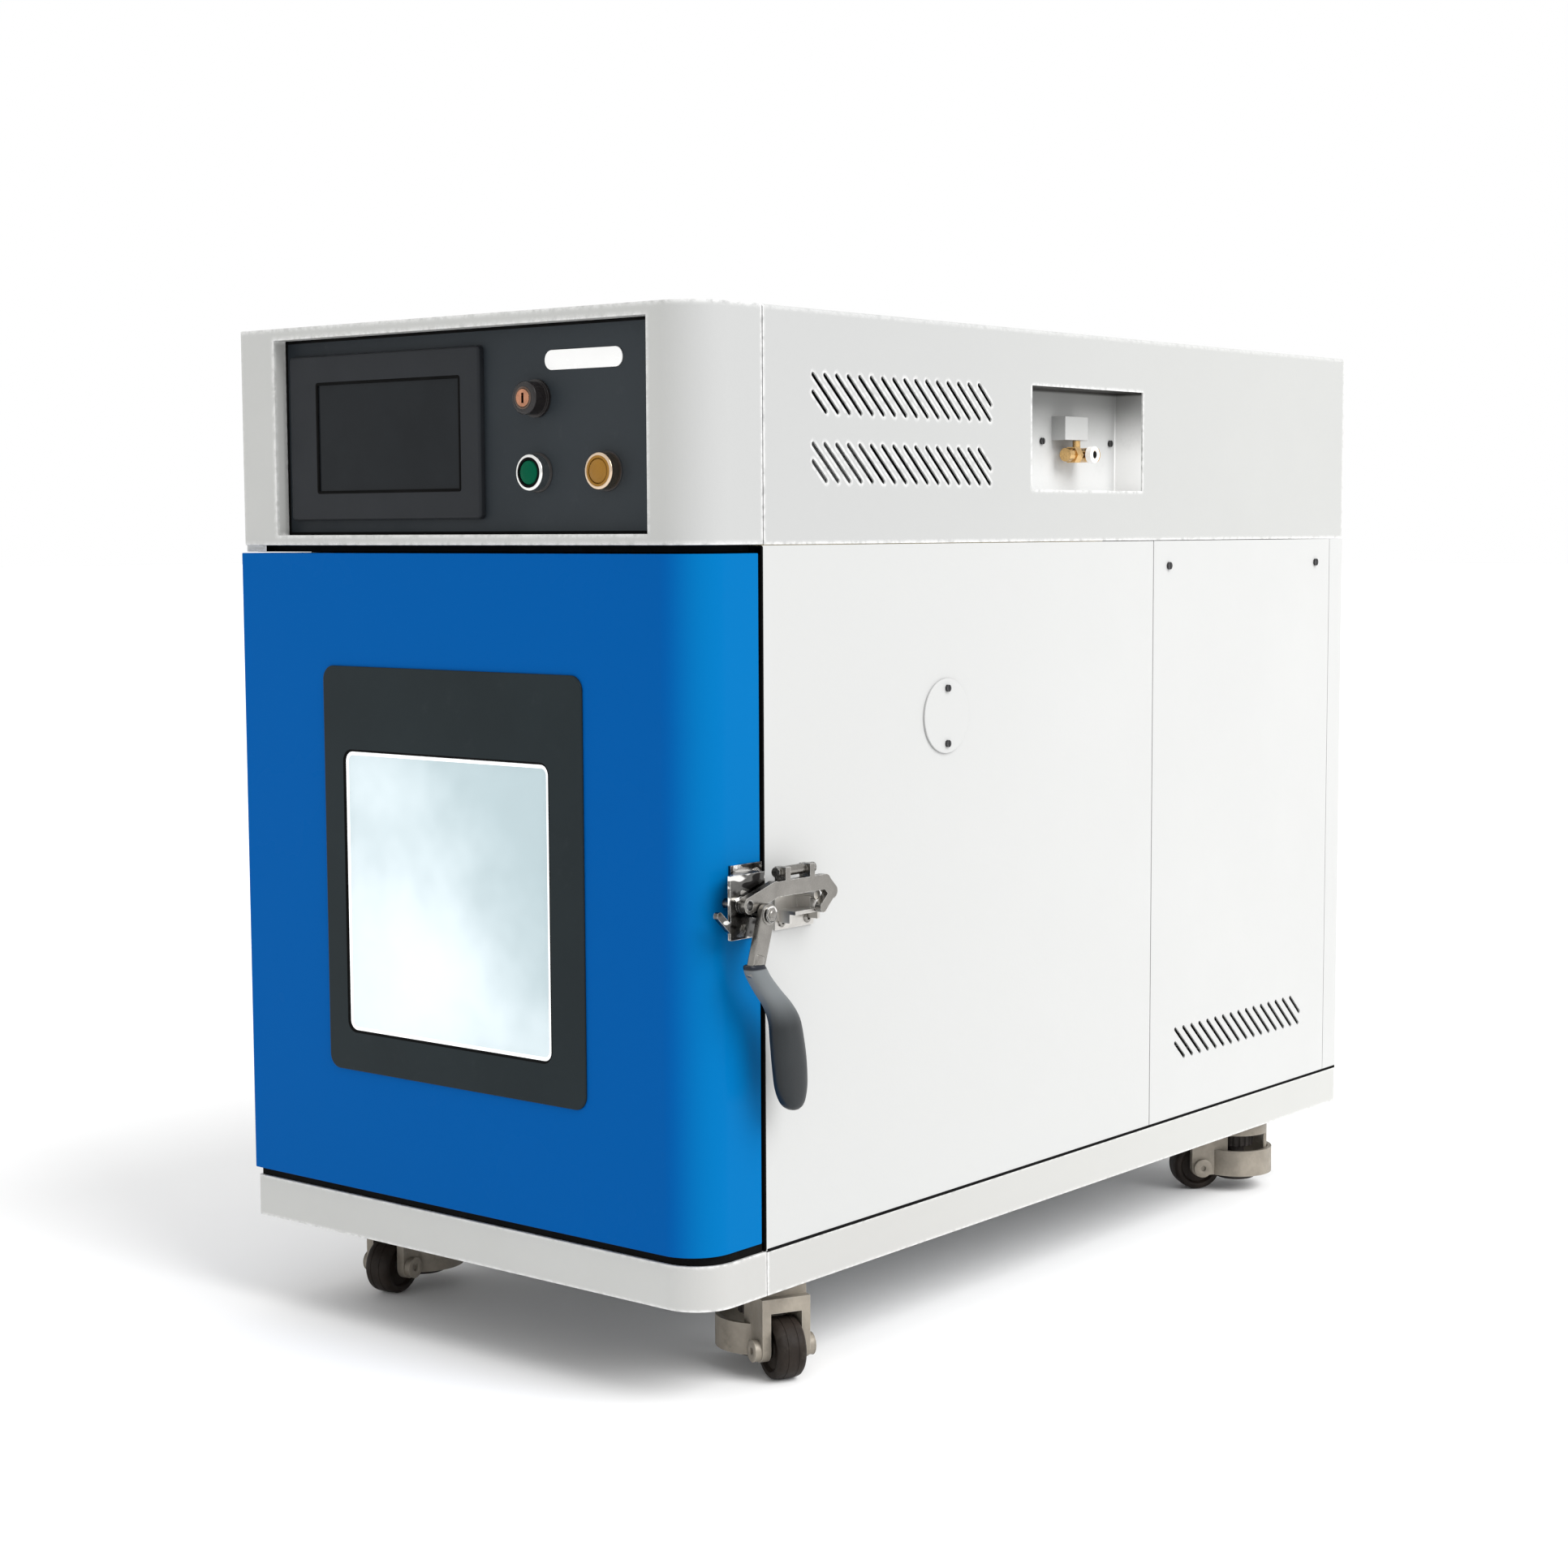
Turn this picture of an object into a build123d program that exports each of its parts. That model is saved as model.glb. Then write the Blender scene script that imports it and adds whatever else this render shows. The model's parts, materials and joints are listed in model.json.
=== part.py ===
from build123d import *
import math
import os

# A compact temperature and humidity incubator on levelling casters, in millimetres.
# While it is modelled, x = 0 is the middle of the cabinet, y = 0 the front of its header and base,
# and z = 0 the floor. At the end everything is moved so that the origin lies on the floor under
# the middle of the whole outline.

# ---- driving dimensions -------------------------------------------------------------------------
WIDTH = 520.0
DEPTH = 1015.0
SHEET = 1.5                    # painted steel panels
LINER_SHEET = 1.2              # stainless steel inside the chamber
SEAM = 0.8                     # shadow line between two panels
GAP = 0.2                      # room between pieces that only lie beside each other

Z_BASE = 80.0                  # underside of the base, the casters' height
Z_BASE_TOP = Z_BASE + 36.0
Z_DOOR = Z_BASE + 43.5
Z_DOOR_TOP = Z_BASE + 583.5
Z_HEAD = Z_BASE + 590.0
Z_TOP = Z_BASE + 773.0

HALF = WIDTH / 2
FRONT_DEPTH = 77.0             # header and base are each a front module and a long rear one
CORNER_R = 36.0                # the rounded corner at the front right
SHARP_R = 3.0                  # the folded corner at the front left
DOOR_PROUD = 4.0
DOOR_BACK = 71.0
CABINET_FRONT = 76.0           # the chamber's steel front flange, which the gasket meets
ACCESS_Y = 645.5               # seam between the side panel and the rear access panel
STRIP_Y = 987.3                # where the rear panel's return flange begins

PANEL_X = (-216.0, 209.5)      # recess for the controls
PANEL_Z = (Z_BASE + 598.6, Z_BASE + 763.0)
RECESS = 14.0
PANEL_SHEET = 2.0
HMI_X = (-206.0, 23.0)
HMI_Z = (Z_BASE + 611.0, Z_BASE + 749.0)
SCREEN_X = (-171.0, 0.0)
SCREEN_Z = (Z_BASE + 634.5, Z_BASE + 725.0)
BUTTON_Z = Z_BASE + 647.0
START_X = 82.0
STOP_X = 156.5
KEY_Z = Z_BASE + 705.0
BUTTON_R = 14.5
BUTTON_TRAVEL = 3.0

VENT_SLOTS = 17
VENT_PITCH = 15.0
VENT_WIDTH = 4.0
VENT_SIDE_Y = (139.0, 381.5)
VENT_HEIGHT = 28.5
VENT_SLOPE = 0.905             # drop of a slot for each millimetre towards the back
UPPER_VENT_Z = Z_BASE + 693.5
LOWER_VENT_Z = Z_BASE + 639.5
REAR_VENT_Y = (692.0, 936.0)
REAR_VENT_Z = Z_BASE + 94.5

FILL_Y = (444.0, 625.0)        # the pocket with the water inlet
FILL_Z = (Z_BASE + 635.0, Z_BASE + 725.0)
FILL_DEPTH = 30.0

GLAND_X = -200.0               # the mains entry, low on the back
GLAND_Z = 150.0
GLAND_R = 9.0
CORD_R = 5.0

CHAMBER_X = 200.0              # half of the inside width
CHAMBER_Z = (183.0, 603.0)
CHAMBER_BACK = 506.0
LINER_R = 12.0                 # radius of the coves along the chamber's long corners
INSULATION_BACK = 560.0
PORT_Y = 315.6
PORT_Z = Z_BASE + 445.0
PORT_R = 25.0
BAFFLE_Y = 440.0
FAN_Z = 470.0
SHAFT_R = 5.0
RUNNING_FIT = 0.05             # radial clearance of a shaft in its bore
SHELF_Z = (290.0, 430.0)       # tops of the shelves' ledges
SHELF_Y = (165.0, 425.0)
SHELF_X = 196.0

WINDOW_X = (-131.0, 108.5)     # the clear opening
WINDOW_Z = (Z_BASE + 179.4, Z_BASE + 419.5)
BORDER_X = (-154.8, 144.5)
BORDER_Z = (Z_BASE + 146.2, Z_BASE + 489.4)
BORDER_SHEET = 2.0
PANE = 4.0
PLUG = 12.0                    # how far the door's inner pan reaches into the chamber

HINGE_X = -269.0
HINGE_Y = 73.5
HINGE_Z = (Z_DOOR + 70.0, Z_DOOR_TOP - 70.0)
KNUCKLE_R = 6.5
PIN_R = 3.0

LATCH_PIVOT = (42.0, Z_BASE + 310.5)   # y and z of the handle's pivot
CLAW_PIVOT = (27.0, Z_BASE + 318.0)
LATCH_PIN_R = 4.0
LATCH_BOX_X = 278.0            # the bracket's outer face; claw and lever lie outside it
CLAW_X = (280.5, 286.5)
HANDLE_X = (287.0, 293.0)
GRIP_X = (282.0, 297.0)

CASTER_X = 200.0
CASTER_Y = (140.0, 914.0)
CASTER_TURN = {"fr": -27.0, "rr": 230.0, "fl": 278.0, "rl": 152.0}  # where each wheel trails
CASTER_OFFSET = 44.0
WHEEL_R = 25.0
WHEEL_W = 25.0
AXLE_R = 4.0
CHEEK_IN = 13.5
CHEEK_OUT = 21.0
BOSS_OUT = 26.0
BAND_R = 37.0
CROWN_R = 32.0
FOOT_CLEAR = 10.0              # the pad's height above the floor when the wheels carry the cabinet

parts = {}


# ---- simple shapes ------------------------------------------------------------------------------
def block(x, y, z):
    """A box between two values along each axis."""
    size = [high - low for low, high in (x, y, z)]
    middle = [(low + high) / 2 for low, high in (x, y, z)]
    return Pos(*middle) * Box(*size)


def rod_x(x, y, z, radius):
    """A round bar along X, from x[0] to x[1]."""
    return Pos((x[0] + x[1]) / 2, y, z) * Rot(0, 90, 0) * Cylinder(radius, x[1] - x[0])


def rod_y(x, y, z, radius):
    """A round bar along Y, from y[0] to y[1]."""
    return Pos(x, (y[0] + y[1]) / 2, z) * Rot(90, 0, 0) * Cylinder(radius, y[1] - y[0])


def rod_z(x, y, z, radius):
    """A round bar along Z, from z[0] to z[1]."""
    return Pos(x, y, (z[0] + z[1]) / 2) * Cylinder(radius, z[1] - z[0])


def capsule(start, end, width, x):
    """A flat bar with round ends, seen from the side: start and end are (y, z) pairs."""
    run = (end[0] - start[0], end[1] - start[1])
    angle = math.degrees(math.atan2(run[1], run[0]))
    middle = ((start[0] + end[0]) / 2, (start[1] + end[1]) / 2)
    slot = Pos(*middle) * Rot(0, 0, angle) * SlotCenterToCenter(math.hypot(*run), width)
    return extrude(Plane.YZ.offset(x[0]) * slot, x[1] - x[0])


def front_module(inset, y, z, back=FRONT_DEPTH):
    """The plan of header, door and base, cut to an inset: square but for the rounded right corner."""
    body = block((-HALF + inset, HALF - inset), (y + inset, back), z)
    upright = body.edges().filter_by(Axis.Z)
    body = fillet(upright.sort_by(lambda e: e.center().Y - e.center().X)[0], CORNER_R - inset)
    upright = body.edges().filter_by(Axis.Z)
    return fillet(upright.sort_by(lambda e: e.center().Y + e.center().X)[0], SHARP_R - inset)


def round_window(x, z, y, radius):
    """A rounded rectangle in the plane of the door, from y[0] to y[1]."""
    solid = block(x, y, z)
    return fillet(solid.edges().filter_by(Axis.Y), radius)


def slanted_slots(y, z_low, x):
    """A row of parallel slanted slots, cut off by an upright rectangle."""
    reach = VENT_HEIGHT / VENT_SLOPE
    z_high = z_low + VENT_HEIGHT
    slots = []
    for index in range(VENT_SLOTS):
        top = y[0] + VENT_PITCH * (index - 1)
        first = max(top, y[0])
        last = min(top + reach, y[1])
        start = (first, z_high - VENT_SLOPE * (first - top))
        end = (last, z_high - VENT_SLOPE * (last - top))
        slots.append(capsule(start, end, VENT_WIDTH, x))
    return slots


def screw_x(face, y, z, outward=1, radius=3.5):
    """A pan head on a side wall, with a slot for the driver."""
    head = rod_x(sorted((face, face + outward * 2.2)), y, z, radius)
    slot = block(sorted((face + outward * 1.2, face + outward * 3)), (y - 0.5, y + 0.5), (z - 3, z + 3))
    return head - slot


# ---- base ---------------------------------------------------------------------------------------
def build_base():
    plate = block((-HALF + 4, HALF - 4), (5, DEPTH - 4), (Z_BASE, Z_BASE + 3))
    plate = plate - front_corner_waste(Z_BASE)
    grille_z = (Z_BASE - 1, Z_BASE + 4)
    grille = [block((-90, 90), (y, y + 8), grille_z) for y in range(700, 860, 20)]
    parts["base_plate"] = plate - grille

    outer = front_module(0, 0, (Z_BASE, Z_BASE_TOP))
    inner = front_module(SHEET, 0, (Z_BASE - 1, Z_BASE_TOP - SHEET), FRONT_DEPTH + 1)
    front = outer - inner
    y_rear = (FRONT_DEPTH + SEAM, DEPTH)
    band = block((-HALF, HALF), y_rear, (Z_BASE, Z_BASE_TOP))
    hollow_z = (Z_BASE - 1, Z_BASE_TOP - SHEET)
    hollow = block((-HALF + SHEET, HALF - SHEET), (FRONT_DEPTH, DEPTH - SHEET), hollow_z)
    lip_hole = block((-HALF + 16, HALF - 16), (FRONT_DEPTH, DEPTH - 16), (Z_BASE, Z_BASE_TOP + 1))
    parts["base_skirt"] = Compound([front.solid(), (band - hollow - lip_hole).solid()])


def front_corner_waste(z_low):
    """What the rounded corner takes off a flat plate inside the skirt."""
    square = block((HALF - CORNER_R, HALF), (0, CORNER_R), (z_low - 1, z_low + 8))
    return square - rod_z(HALF - CORNER_R, CORNER_R, (z_low - 1, z_low + 8), CORNER_R - SHEET - 1)


# ---- header -------------------------------------------------------------------------------------
def build_header():
    z = (Z_HEAD, Z_TOP)
    shell = front_module(0, 0, z)
    shell = shell - front_module(SHEET, 0, (Z_HEAD + SHEET, Z_TOP - SHEET), FRONT_DEPTH + 1)
    frame_x = (PANEL_X[0] - SHEET, PANEL_X[1] + SHEET)
    frame_z = (PANEL_Z[0] - SHEET, PANEL_Z[1] + SHEET)
    shell = shell + block(frame_x, (0, RECESS), frame_z)
    parts["header_front"] = shell - block(PANEL_X, (-1, RECESS + 1), PANEL_Z)

    y = (FRONT_DEPTH + SEAM, DEPTH)
    cover = block((-HALF, HALF), y, z)
    along = cover.edges().filter_by(Axis.Y).sort_by(Axis.Z)[-2:]
    cover = fillet(along, SHARP_R)
    hollow_z = (Z_HEAD - 1, Z_TOP - SHEET)
    hollow = block((-HALF + SHEET, HALF - SHEET), (FRONT_DEPTH, DEPTH - SHEET), hollow_z)
    hollow = fillet(hollow.edges().filter_by(Axis.Y).sort_by(Axis.Z)[-2:], SHARP_R - SHEET)
    through = [(HALF - 3, HALF + 1), (-HALF - 1, -HALF + 3)]
    cuts = [hollow, block((HALF - 5, HALF + 1), FILL_Y, FILL_Z)]
    for x in through:
        for z_low in (UPPER_VENT_Z, LOWER_VENT_Z):
            cuts += slanted_slots(VENT_SIDE_Y, z_low, x)
    parts["header_cover"] = cover - cuts


def build_controls():
    """The charcoal panel with its screen, key switch and push buttons."""
    margin = 14
    plate = block(
        (PANEL_X[0] - margin, PANEL_X[1] + margin),
        (RECESS, RECESS + PANEL_SHEET),
        (Z_HEAD + 4, Z_TOP - 4),
    )
    back_x = (HMI_X[0] + 7, HMI_X[1] - 7)
    back_z = (HMI_Z[0] + 7, HMI_Z[1] - 7)
    holes = [block((back_x[0] - 0.5, back_x[1] + 0.5), (0, 30), (back_z[0] - 0.5, back_z[1] + 0.5))]
    neck_r = 11.0
    places = [(START_X, BUTTON_Z), (STOP_X, BUTTON_Z), (START_X, KEY_Z)]
    holes += [rod_y(x, (0, 30), z, neck_r + 0.2) for x, z in places]
    parts["control_panel"] = plate - holes

    face = RECESS - 6
    bezel = block(HMI_X, (face, RECESS), HMI_Z)
    bezel = fillet(bezel.edges().filter_by(Axis.Y), 4)
    bezel = chamfer(bezel.faces().sort_by(Axis.Y)[0].edges(), 1.5)
    bezel = bezel + block(back_x, (RECESS - 1, 48), back_z)
    screen_seat = 1.2
    screen = block(SCREEN_X, (face + screen_seat, face + screen_seat + 2), SCREEN_Z)
    opening = block(SCREEN_X, (face - 1, face + screen_seat + 2), SCREEN_Z)
    parts["hmi_bezel"] = bezel - opening
    parts["hmi_screen"] = screen

    badge_x = (91.5, 174.0)
    badge_z = (Z_BASE + 726.5, Z_BASE + 742.0)
    badge = block(badge_x, (RECESS - 1, RECESS), badge_z)
    parts["badge_plate"] = fillet(badge.edges().filter_by(Axis.Y), 7.6)

    core_r = 7.0
    key = rod_y(START_X, (RECESS - 3, RECESS), KEY_Z, 15)
    barrel = rod_y(START_X, (-2, RECESS), KEY_Z, 13)
    key = key + chamfer(barrel.edges().sort_by(Axis.Y)[0], 1.5)
    key = key + rod_y(START_X, (RECESS, 38), KEY_Z, neck_r)
    key = key + block((START_X - 15, START_X + 15), (38, 62), (KEY_Z - 20, KEY_Z + 20))
    core_span = (-2.8, 20)
    parts["key_switch_body"] = key - rod_y(START_X, (-3, core_span[1] + 0.5), KEY_Z, core_r + RUNNING_FIT)
    core = rod_y(START_X, core_span, KEY_Z, core_r)
    keyway = block((START_X - 1.2, START_X + 1.2), (-4, 9), (KEY_Z - 4, KEY_Z + 4))
    parts["key_core"] = core - keyway

    rings = []
    cap_r = neck_r - 0.4
    for name, x in (("start_cap", START_X), ("stop_cap", STOP_X)):
        ring = rod_y(x, (3, RECESS), BUTTON_Z, BUTTON_R)
        ring = fillet(ring.edges().sort_by(Axis.Y)[0], 1.6)
        ring = ring + rod_y(x, (RECESS, 44), BUTTON_Z, neck_r)
        ring = ring + block((x - 14, x + 14), (44, 66), (BUTTON_Z - 20, BUTTON_Z + 20))
        ring = ring - rod_y(x, (0, RECESS - 0.5), BUTTON_Z, cap_r + RUNNING_FIT)
        rings.append((ring - rod_y(x, (0, 36), BUTTON_Z, 8)).solid())
        cap = rod_y(x, (1.5, RECESS - 0.8 - BUTTON_TRAVEL), BUTTON_Z, cap_r)
        cap = fillet(cap.edges().sort_by(Axis.Y)[0], 1.0)
        parts[name] = cap + rod_y(x, (RECESS - 4, 32), BUTTON_Z, 7)
    parts["button_rings"] = Compound(rings)


def build_fill_pocket():
    back = HALF - FILL_DEPTH
    box_y = (FILL_Y[0] - SHEET, FILL_Y[1] + SHEET)
    box_z = (FILL_Z[0] - SHEET, FILL_Z[1] + SHEET)
    box = block((back - SHEET, HALF - SHEET), box_y, box_z)
    box = box - block((back, HALF), FILL_Y, FILL_Z)
    bracket_y = (519, 556)
    bracket_z = (Z_BASE + 680, Z_BASE + 701)
    bracket = block((back - 0.5, back + 15), bracket_y, bracket_z)
    under_y = (bracket_y[0] + SHEET, bracket_y[1] - SHEET)
    under_z = (bracket_z[0] - 1, bracket_z[1] - SHEET)
    bracket = bracket - block((back, back + 13.5), under_y, under_z)
    parts["fill_pocket"] = box + bracket

    z = Z_BASE + 667
    body_x = back + 13
    fitting = rod_y(body_x, (522, 556), z, 6)
    fitting = fitting + rod_x((back, body_x), 540, z, 5)
    hexagon = extrude(Plane.XZ.offset(-531) * Pos(body_x, z) * RegularPolygon(8, 6), -9)
    fitting = fitting + hexagon
    fitting = fitting + rod_x((body_x - 4, body_x + 13), 553, z, 6.5)
    fitting = fitting + rod_z(body_x, 540, (z, Z_BASE + 679.5), 3.5)
    parts["fill_fitting"] = fitting - rod_x((body_x, body_x + 14), 553, z, 3.5)


# ---- outer panels -------------------------------------------------------------------------------
def build_panels():
    z = (Z_BASE_TOP + GAP, Z_HEAD - 0.6)
    right = (HALF - SHEET, HALF)
    left = (-HALF, -HALF + SHEET)
    cut_right = (HALF - 3, HALF + 1)
    cut_left = (-HALF - 1, -HALF + 3)
    side = block(right, (CABINET_FRONT + 0.5, ACCESS_Y), z)
    parts["side_panel_right"] = side - rod_x(cut_right, PORT_Y, PORT_Z, PORT_R + 1.5)
    access = block(right, (ACCESS_Y + SEAM, STRIP_Y), z)
    parts["rear_access_panel"] = access - slanted_slots(REAR_VENT_Y, REAR_VENT_Z, cut_right)
    side = block(left, (CABINET_FRONT + 0.5, STRIP_Y), z)
    parts["side_panel_left"] = side - slanted_slots(REAR_VENT_Y, REAR_VENT_Z, cut_left)

    rear = block((-HALF, HALF), (STRIP_Y + SEAM, DEPTH), z)
    rear = rear - block((-HALF + SHEET, HALF - SHEET), (STRIP_Y, DEPTH - SHEET), (z[0] - 1, z[1] + 1))
    cuts = []
    for column in (-90, 90):
        for row in range(14):
            z_slot = 205 + 20 * row
            slot = SlotCenterToCenter(140, 6)
            cuts.append(extrude(Plane.XZ.offset(-DEPTH - 1) * Pos(column, z_slot) * slot, 4))
    cuts.append(rod_y(GLAND_X, (DEPTH - 3, DEPTH + 1), GLAND_Z, GLAND_R + 0.2))
    parts["rear_panel"] = rear - cuts

    parts["port_cover"] = rod_x((HALF, HALF + 2), PORT_Y, PORT_Z, 31.5)
    heads = [screw_x(HALF, y, Z_BASE + 566, 1) for y in (672.5, 957.0)]
    heads += [screw_x(HALF + 2, PORT_Y, PORT_Z + step, 1, 3) for step in (-23.3, 23.3)]
    heads += [screw_x(HALF - FILL_DEPTH, y, Z_BASE + 679, 1, 3) for y in (503.0, 615.5)]
    heads += [screw_x(-HALF, y, Z_BASE + 566, -1) for y in (110.0, 530.0, 957.0)]
    heads += [screw_x(-HALF, y, Z_BASE + 60, -1) for y in (110.0, 530.0, 957.0)]
    for x in (-240, 0, 240):
        heads += [rod_y(x, (DEPTH, DEPTH + 2), z_head, 3.5) for z_head in (135, 650)]
    parts["panel_screws"] = Compound([head.solid() for head in heads])


def build_gland():
    """The mains entry: a gland with its nut, open for a 10 mm cord."""
    nut = extrude(Plane.XZ.offset(-DEPTH) * Pos(GLAND_X, GLAND_Z) * RegularPolygon(14, 6), -6)
    dome = rod_y(GLAND_X, (DEPTH + 6, DEPTH + 18), GLAND_Z, 11)
    dome = fillet(dome.edges().sort_by(Axis.Y)[-1], 3)
    neck = rod_y(GLAND_X, (DEPTH - 12, DEPTH + 1), GLAND_Z, GLAND_R)
    inner_face = Plane.XZ.offset(-DEPTH + SHEET + 5)
    back_nut = extrude(inner_face * Pos(GLAND_X, GLAND_Z) * RegularPolygon(13, 6), -5)
    bore = rod_y(GLAND_X, (DEPTH - 20, DEPTH + 20), GLAND_Z, CORD_R)
    parts["mains_gland"] = nut + dome + neck + back_nut - bore


# ---- chamber ------------------------------------------------------------------------------------
def build_liner():
    """The stainless chamber: flat sheets, coved corners, a front flange, the port's sleeve, shelf rails."""
    t = LINER_SHEET
    y = (CABINET_FRONT + t, CHAMBER_BACK)
    wall = CHAMBER_X
    low, high = CHAMBER_Z
    floor = block((-wall - t, wall + t), y, (low - t, low))
    roof = block((-wall - t, wall + t), y, (high, high + t))
    left = block((-wall - t, -wall), y, (low, high))
    right = block((wall, wall + t), y, (low, high)) - rod_x((wall - 1, wall + 3), PORT_Y, PORT_Z, PORT_R)
    back = block((-wall - t, wall + t), (CHAMBER_BACK, CHAMBER_BACK + t), (low - t, high + t))
    back = back - rod_y(0, (CHAMBER_BACK - 1, CHAMBER_BACK + 3), FAN_Z, 9)
    sheets = [floor, roof, left, right, back]

    front = (CABINET_FRONT, CABINET_FRONT + t)
    edge = HALF - 2
    bottom, top = Z_BASE_TOP + 4, Z_HEAD - 4
    flange = [block((-edge, edge), front, (bottom, low)), block((-edge, edge), front, (high, top))]
    flange += [block((-edge, -wall), front, (low, high)), block((wall, edge), front, (low, high))]

    coves = []
    for side in (-1, 1):
        for z, inward in ((low, 1), (high, -1)):
            x_span = sorted((side * wall, side * (wall - LINER_R)))
            z_span = sorted((z, z + inward * LINER_R))
            cove = block(x_span, (CABINET_FRONT, CHAMBER_BACK), z_span)
            round_y = (CABINET_FRONT - 1, CHAMBER_BACK + 1)
            hollow = rod_y(side * (wall - LINER_R), round_y, z + inward * LINER_R, LINER_R)
            coves.append(cove - hollow)

    port_x = (wall + t, HALF - SHEET - GAP)
    sleeve = rod_x(port_x, PORT_Y, PORT_Z, PORT_R + t) - rod_x(port_x, PORT_Y, PORT_Z, PORT_R)
    rails = []
    for side in (-1, 1):
        for level in SHELF_Z:
            span = sorted((side * (wall - LINER_R), side * wall))
            rails.append(block(span, (120, BAFFLE_Y - 4), (level - 5, level)))
    return [piece.solid() for piece in sheets + flange + coves + [sleeve] + rails]


def build_chamber():
    t = LINER_SHEET
    parts["chamber_liner"] = Compound(build_liner())

    low = CHAMBER_Z[0] - t - GAP
    high = CHAMBER_Z[1] + t + GAP
    wall = HALF - SHEET - GAP
    front = CABINET_FRONT + t + GAP
    back = CHAMBER_BACK + t + GAP
    inner = CHAMBER_X + t + GAP
    left = block((-wall, -inner), (front, back - GAP), (low, high))
    right = block((inner, wall), (front, back - GAP), (low, high))
    right = right - rod_x((inner - 1, wall + 1), PORT_Y, PORT_Z, PORT_R + t + GAP)
    floor = block((-wall, wall), (front, back - GAP), (Z_BASE_TOP + GAP, low - GAP))
    roof = block((-wall, wall), (front, back - GAP), (high + GAP, Z_HEAD))
    rear = block((-wall, wall), (back, INSULATION_BACK), (Z_BASE_TOP + GAP, Z_HEAD))
    rear = rear - rod_y(0, (back - 1, INSULATION_BACK + 1), FAN_Z, 9)
    parts["insulation"] = Compound([slab.solid() for slab in (left, right, floor, roof, rear)])

    baffle_z = (CHAMBER_Z[0] + 13, CHAMBER_Z[1] - 13)
    baffle = block((-CHAMBER_X + 1, CHAMBER_X - 1), (BAFFLE_Y, BAFFLE_Y + t), baffle_z)
    holes = []
    for ring, count in ((18, 6), (36, 12), (54, 18), (72, 24)):
        for index in range(count):
            turn = 2 * math.pi * index / count
            centre = (ring * math.cos(turn), FAN_Z + ring * math.sin(turn))
            holes.append(rod_y(centre[0], (BAFFLE_Y - 1, BAFFLE_Y + 3), centre[1], 6))
    for z in (CHAMBER_Z[0] + 30, CHAMBER_Z[1] - 28):
        for index in range(7):
            x = -150 + 50 * index
            holes.append(block((x - 20, x + 20), (BAFFLE_Y - 1, BAFFLE_Y + 3), (z - 5, z + 5)))
    parts["air_baffle"] = baffle - holes


def build_air_system():
    """Circulation fan, heater and evaporator in the space behind the baffle."""
    hub = rod_y(0, (462, 494), FAN_Z, 16)
    impeller = hub + rod_y(0, (490, 492), FAN_Z, 68) + rod_y(0, (462, 566), FAN_Z, SHAFT_R)
    for index in range(12):
        blade = block((30, 66), (462, 491), (-1, 1))
        impeller = impeller + Pos(0, 0, FAN_Z) * Rot(0, 30 * index, 0) * blade
    parts["circulation_fan"] = impeller

    motor = rod_y(0, (INSULATION_BACK + 4, 640), FAN_Z, 42)
    motor = fillet(motor.edges().sort_by(Axis.Y)[-1], 6)
    motor = motor + rod_y(0, (INSULATION_BACK, INSULATION_BACK + 4), FAN_Z, 55)
    parts["fan_motor"] = motor - rod_y(0, (INSULATION_BACK - 1, 575), FAN_Z, SHAFT_R + RUNNING_FIT)

    heaters = [Pos(0, y, FAN_Z) * Rot(90, 0, 0) * Torus(96, 4) for y in (466, 482)]
    core = block((-170, 170), (450, 496), (205, 325))
    grooves = []
    for index in range(33):
        x = -165 + 10 * index
        grooves.append(block((x, x + 6), (449, 497), (212, 318)))
    tubes = []
    for y in (462, 484):
        tubes += [rod_x((-176, 176), y, z, 5) for z in (230, 265, 300)]
    coil = core - grooves + tubes
    parts["coil_and_heater"] = Compound([ring.solid() for ring in heaters] + [coil.solid()])


def build_shelf(level):
    """A wire shelf: a rectangle of thick rod, filled with thin rods."""
    thick = 3.0
    z = level + thick + 0.3
    y = (SHELF_Y[0], SHELF_Y[1])
    x = SHELF_X - thick
    shelf = rod_y(-x, y, z, thick) + rod_y(x, y, z, thick)
    shelf = shelf + [rod_x((-x, x), row, z, thick) for row in y]
    shelf = shelf + [Pos(side * x, row, z) * Sphere(thick) for side in (-1, 1) for row in y]
    wires = [rod_y(-176 + 16 * index, y, z + 1, 1.5) for index in range(23)]
    middle = rod_x((-x, x), (y[0] + y[1]) / 2, z - 1.2, 1.8)
    return shelf + wires + middle


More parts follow.
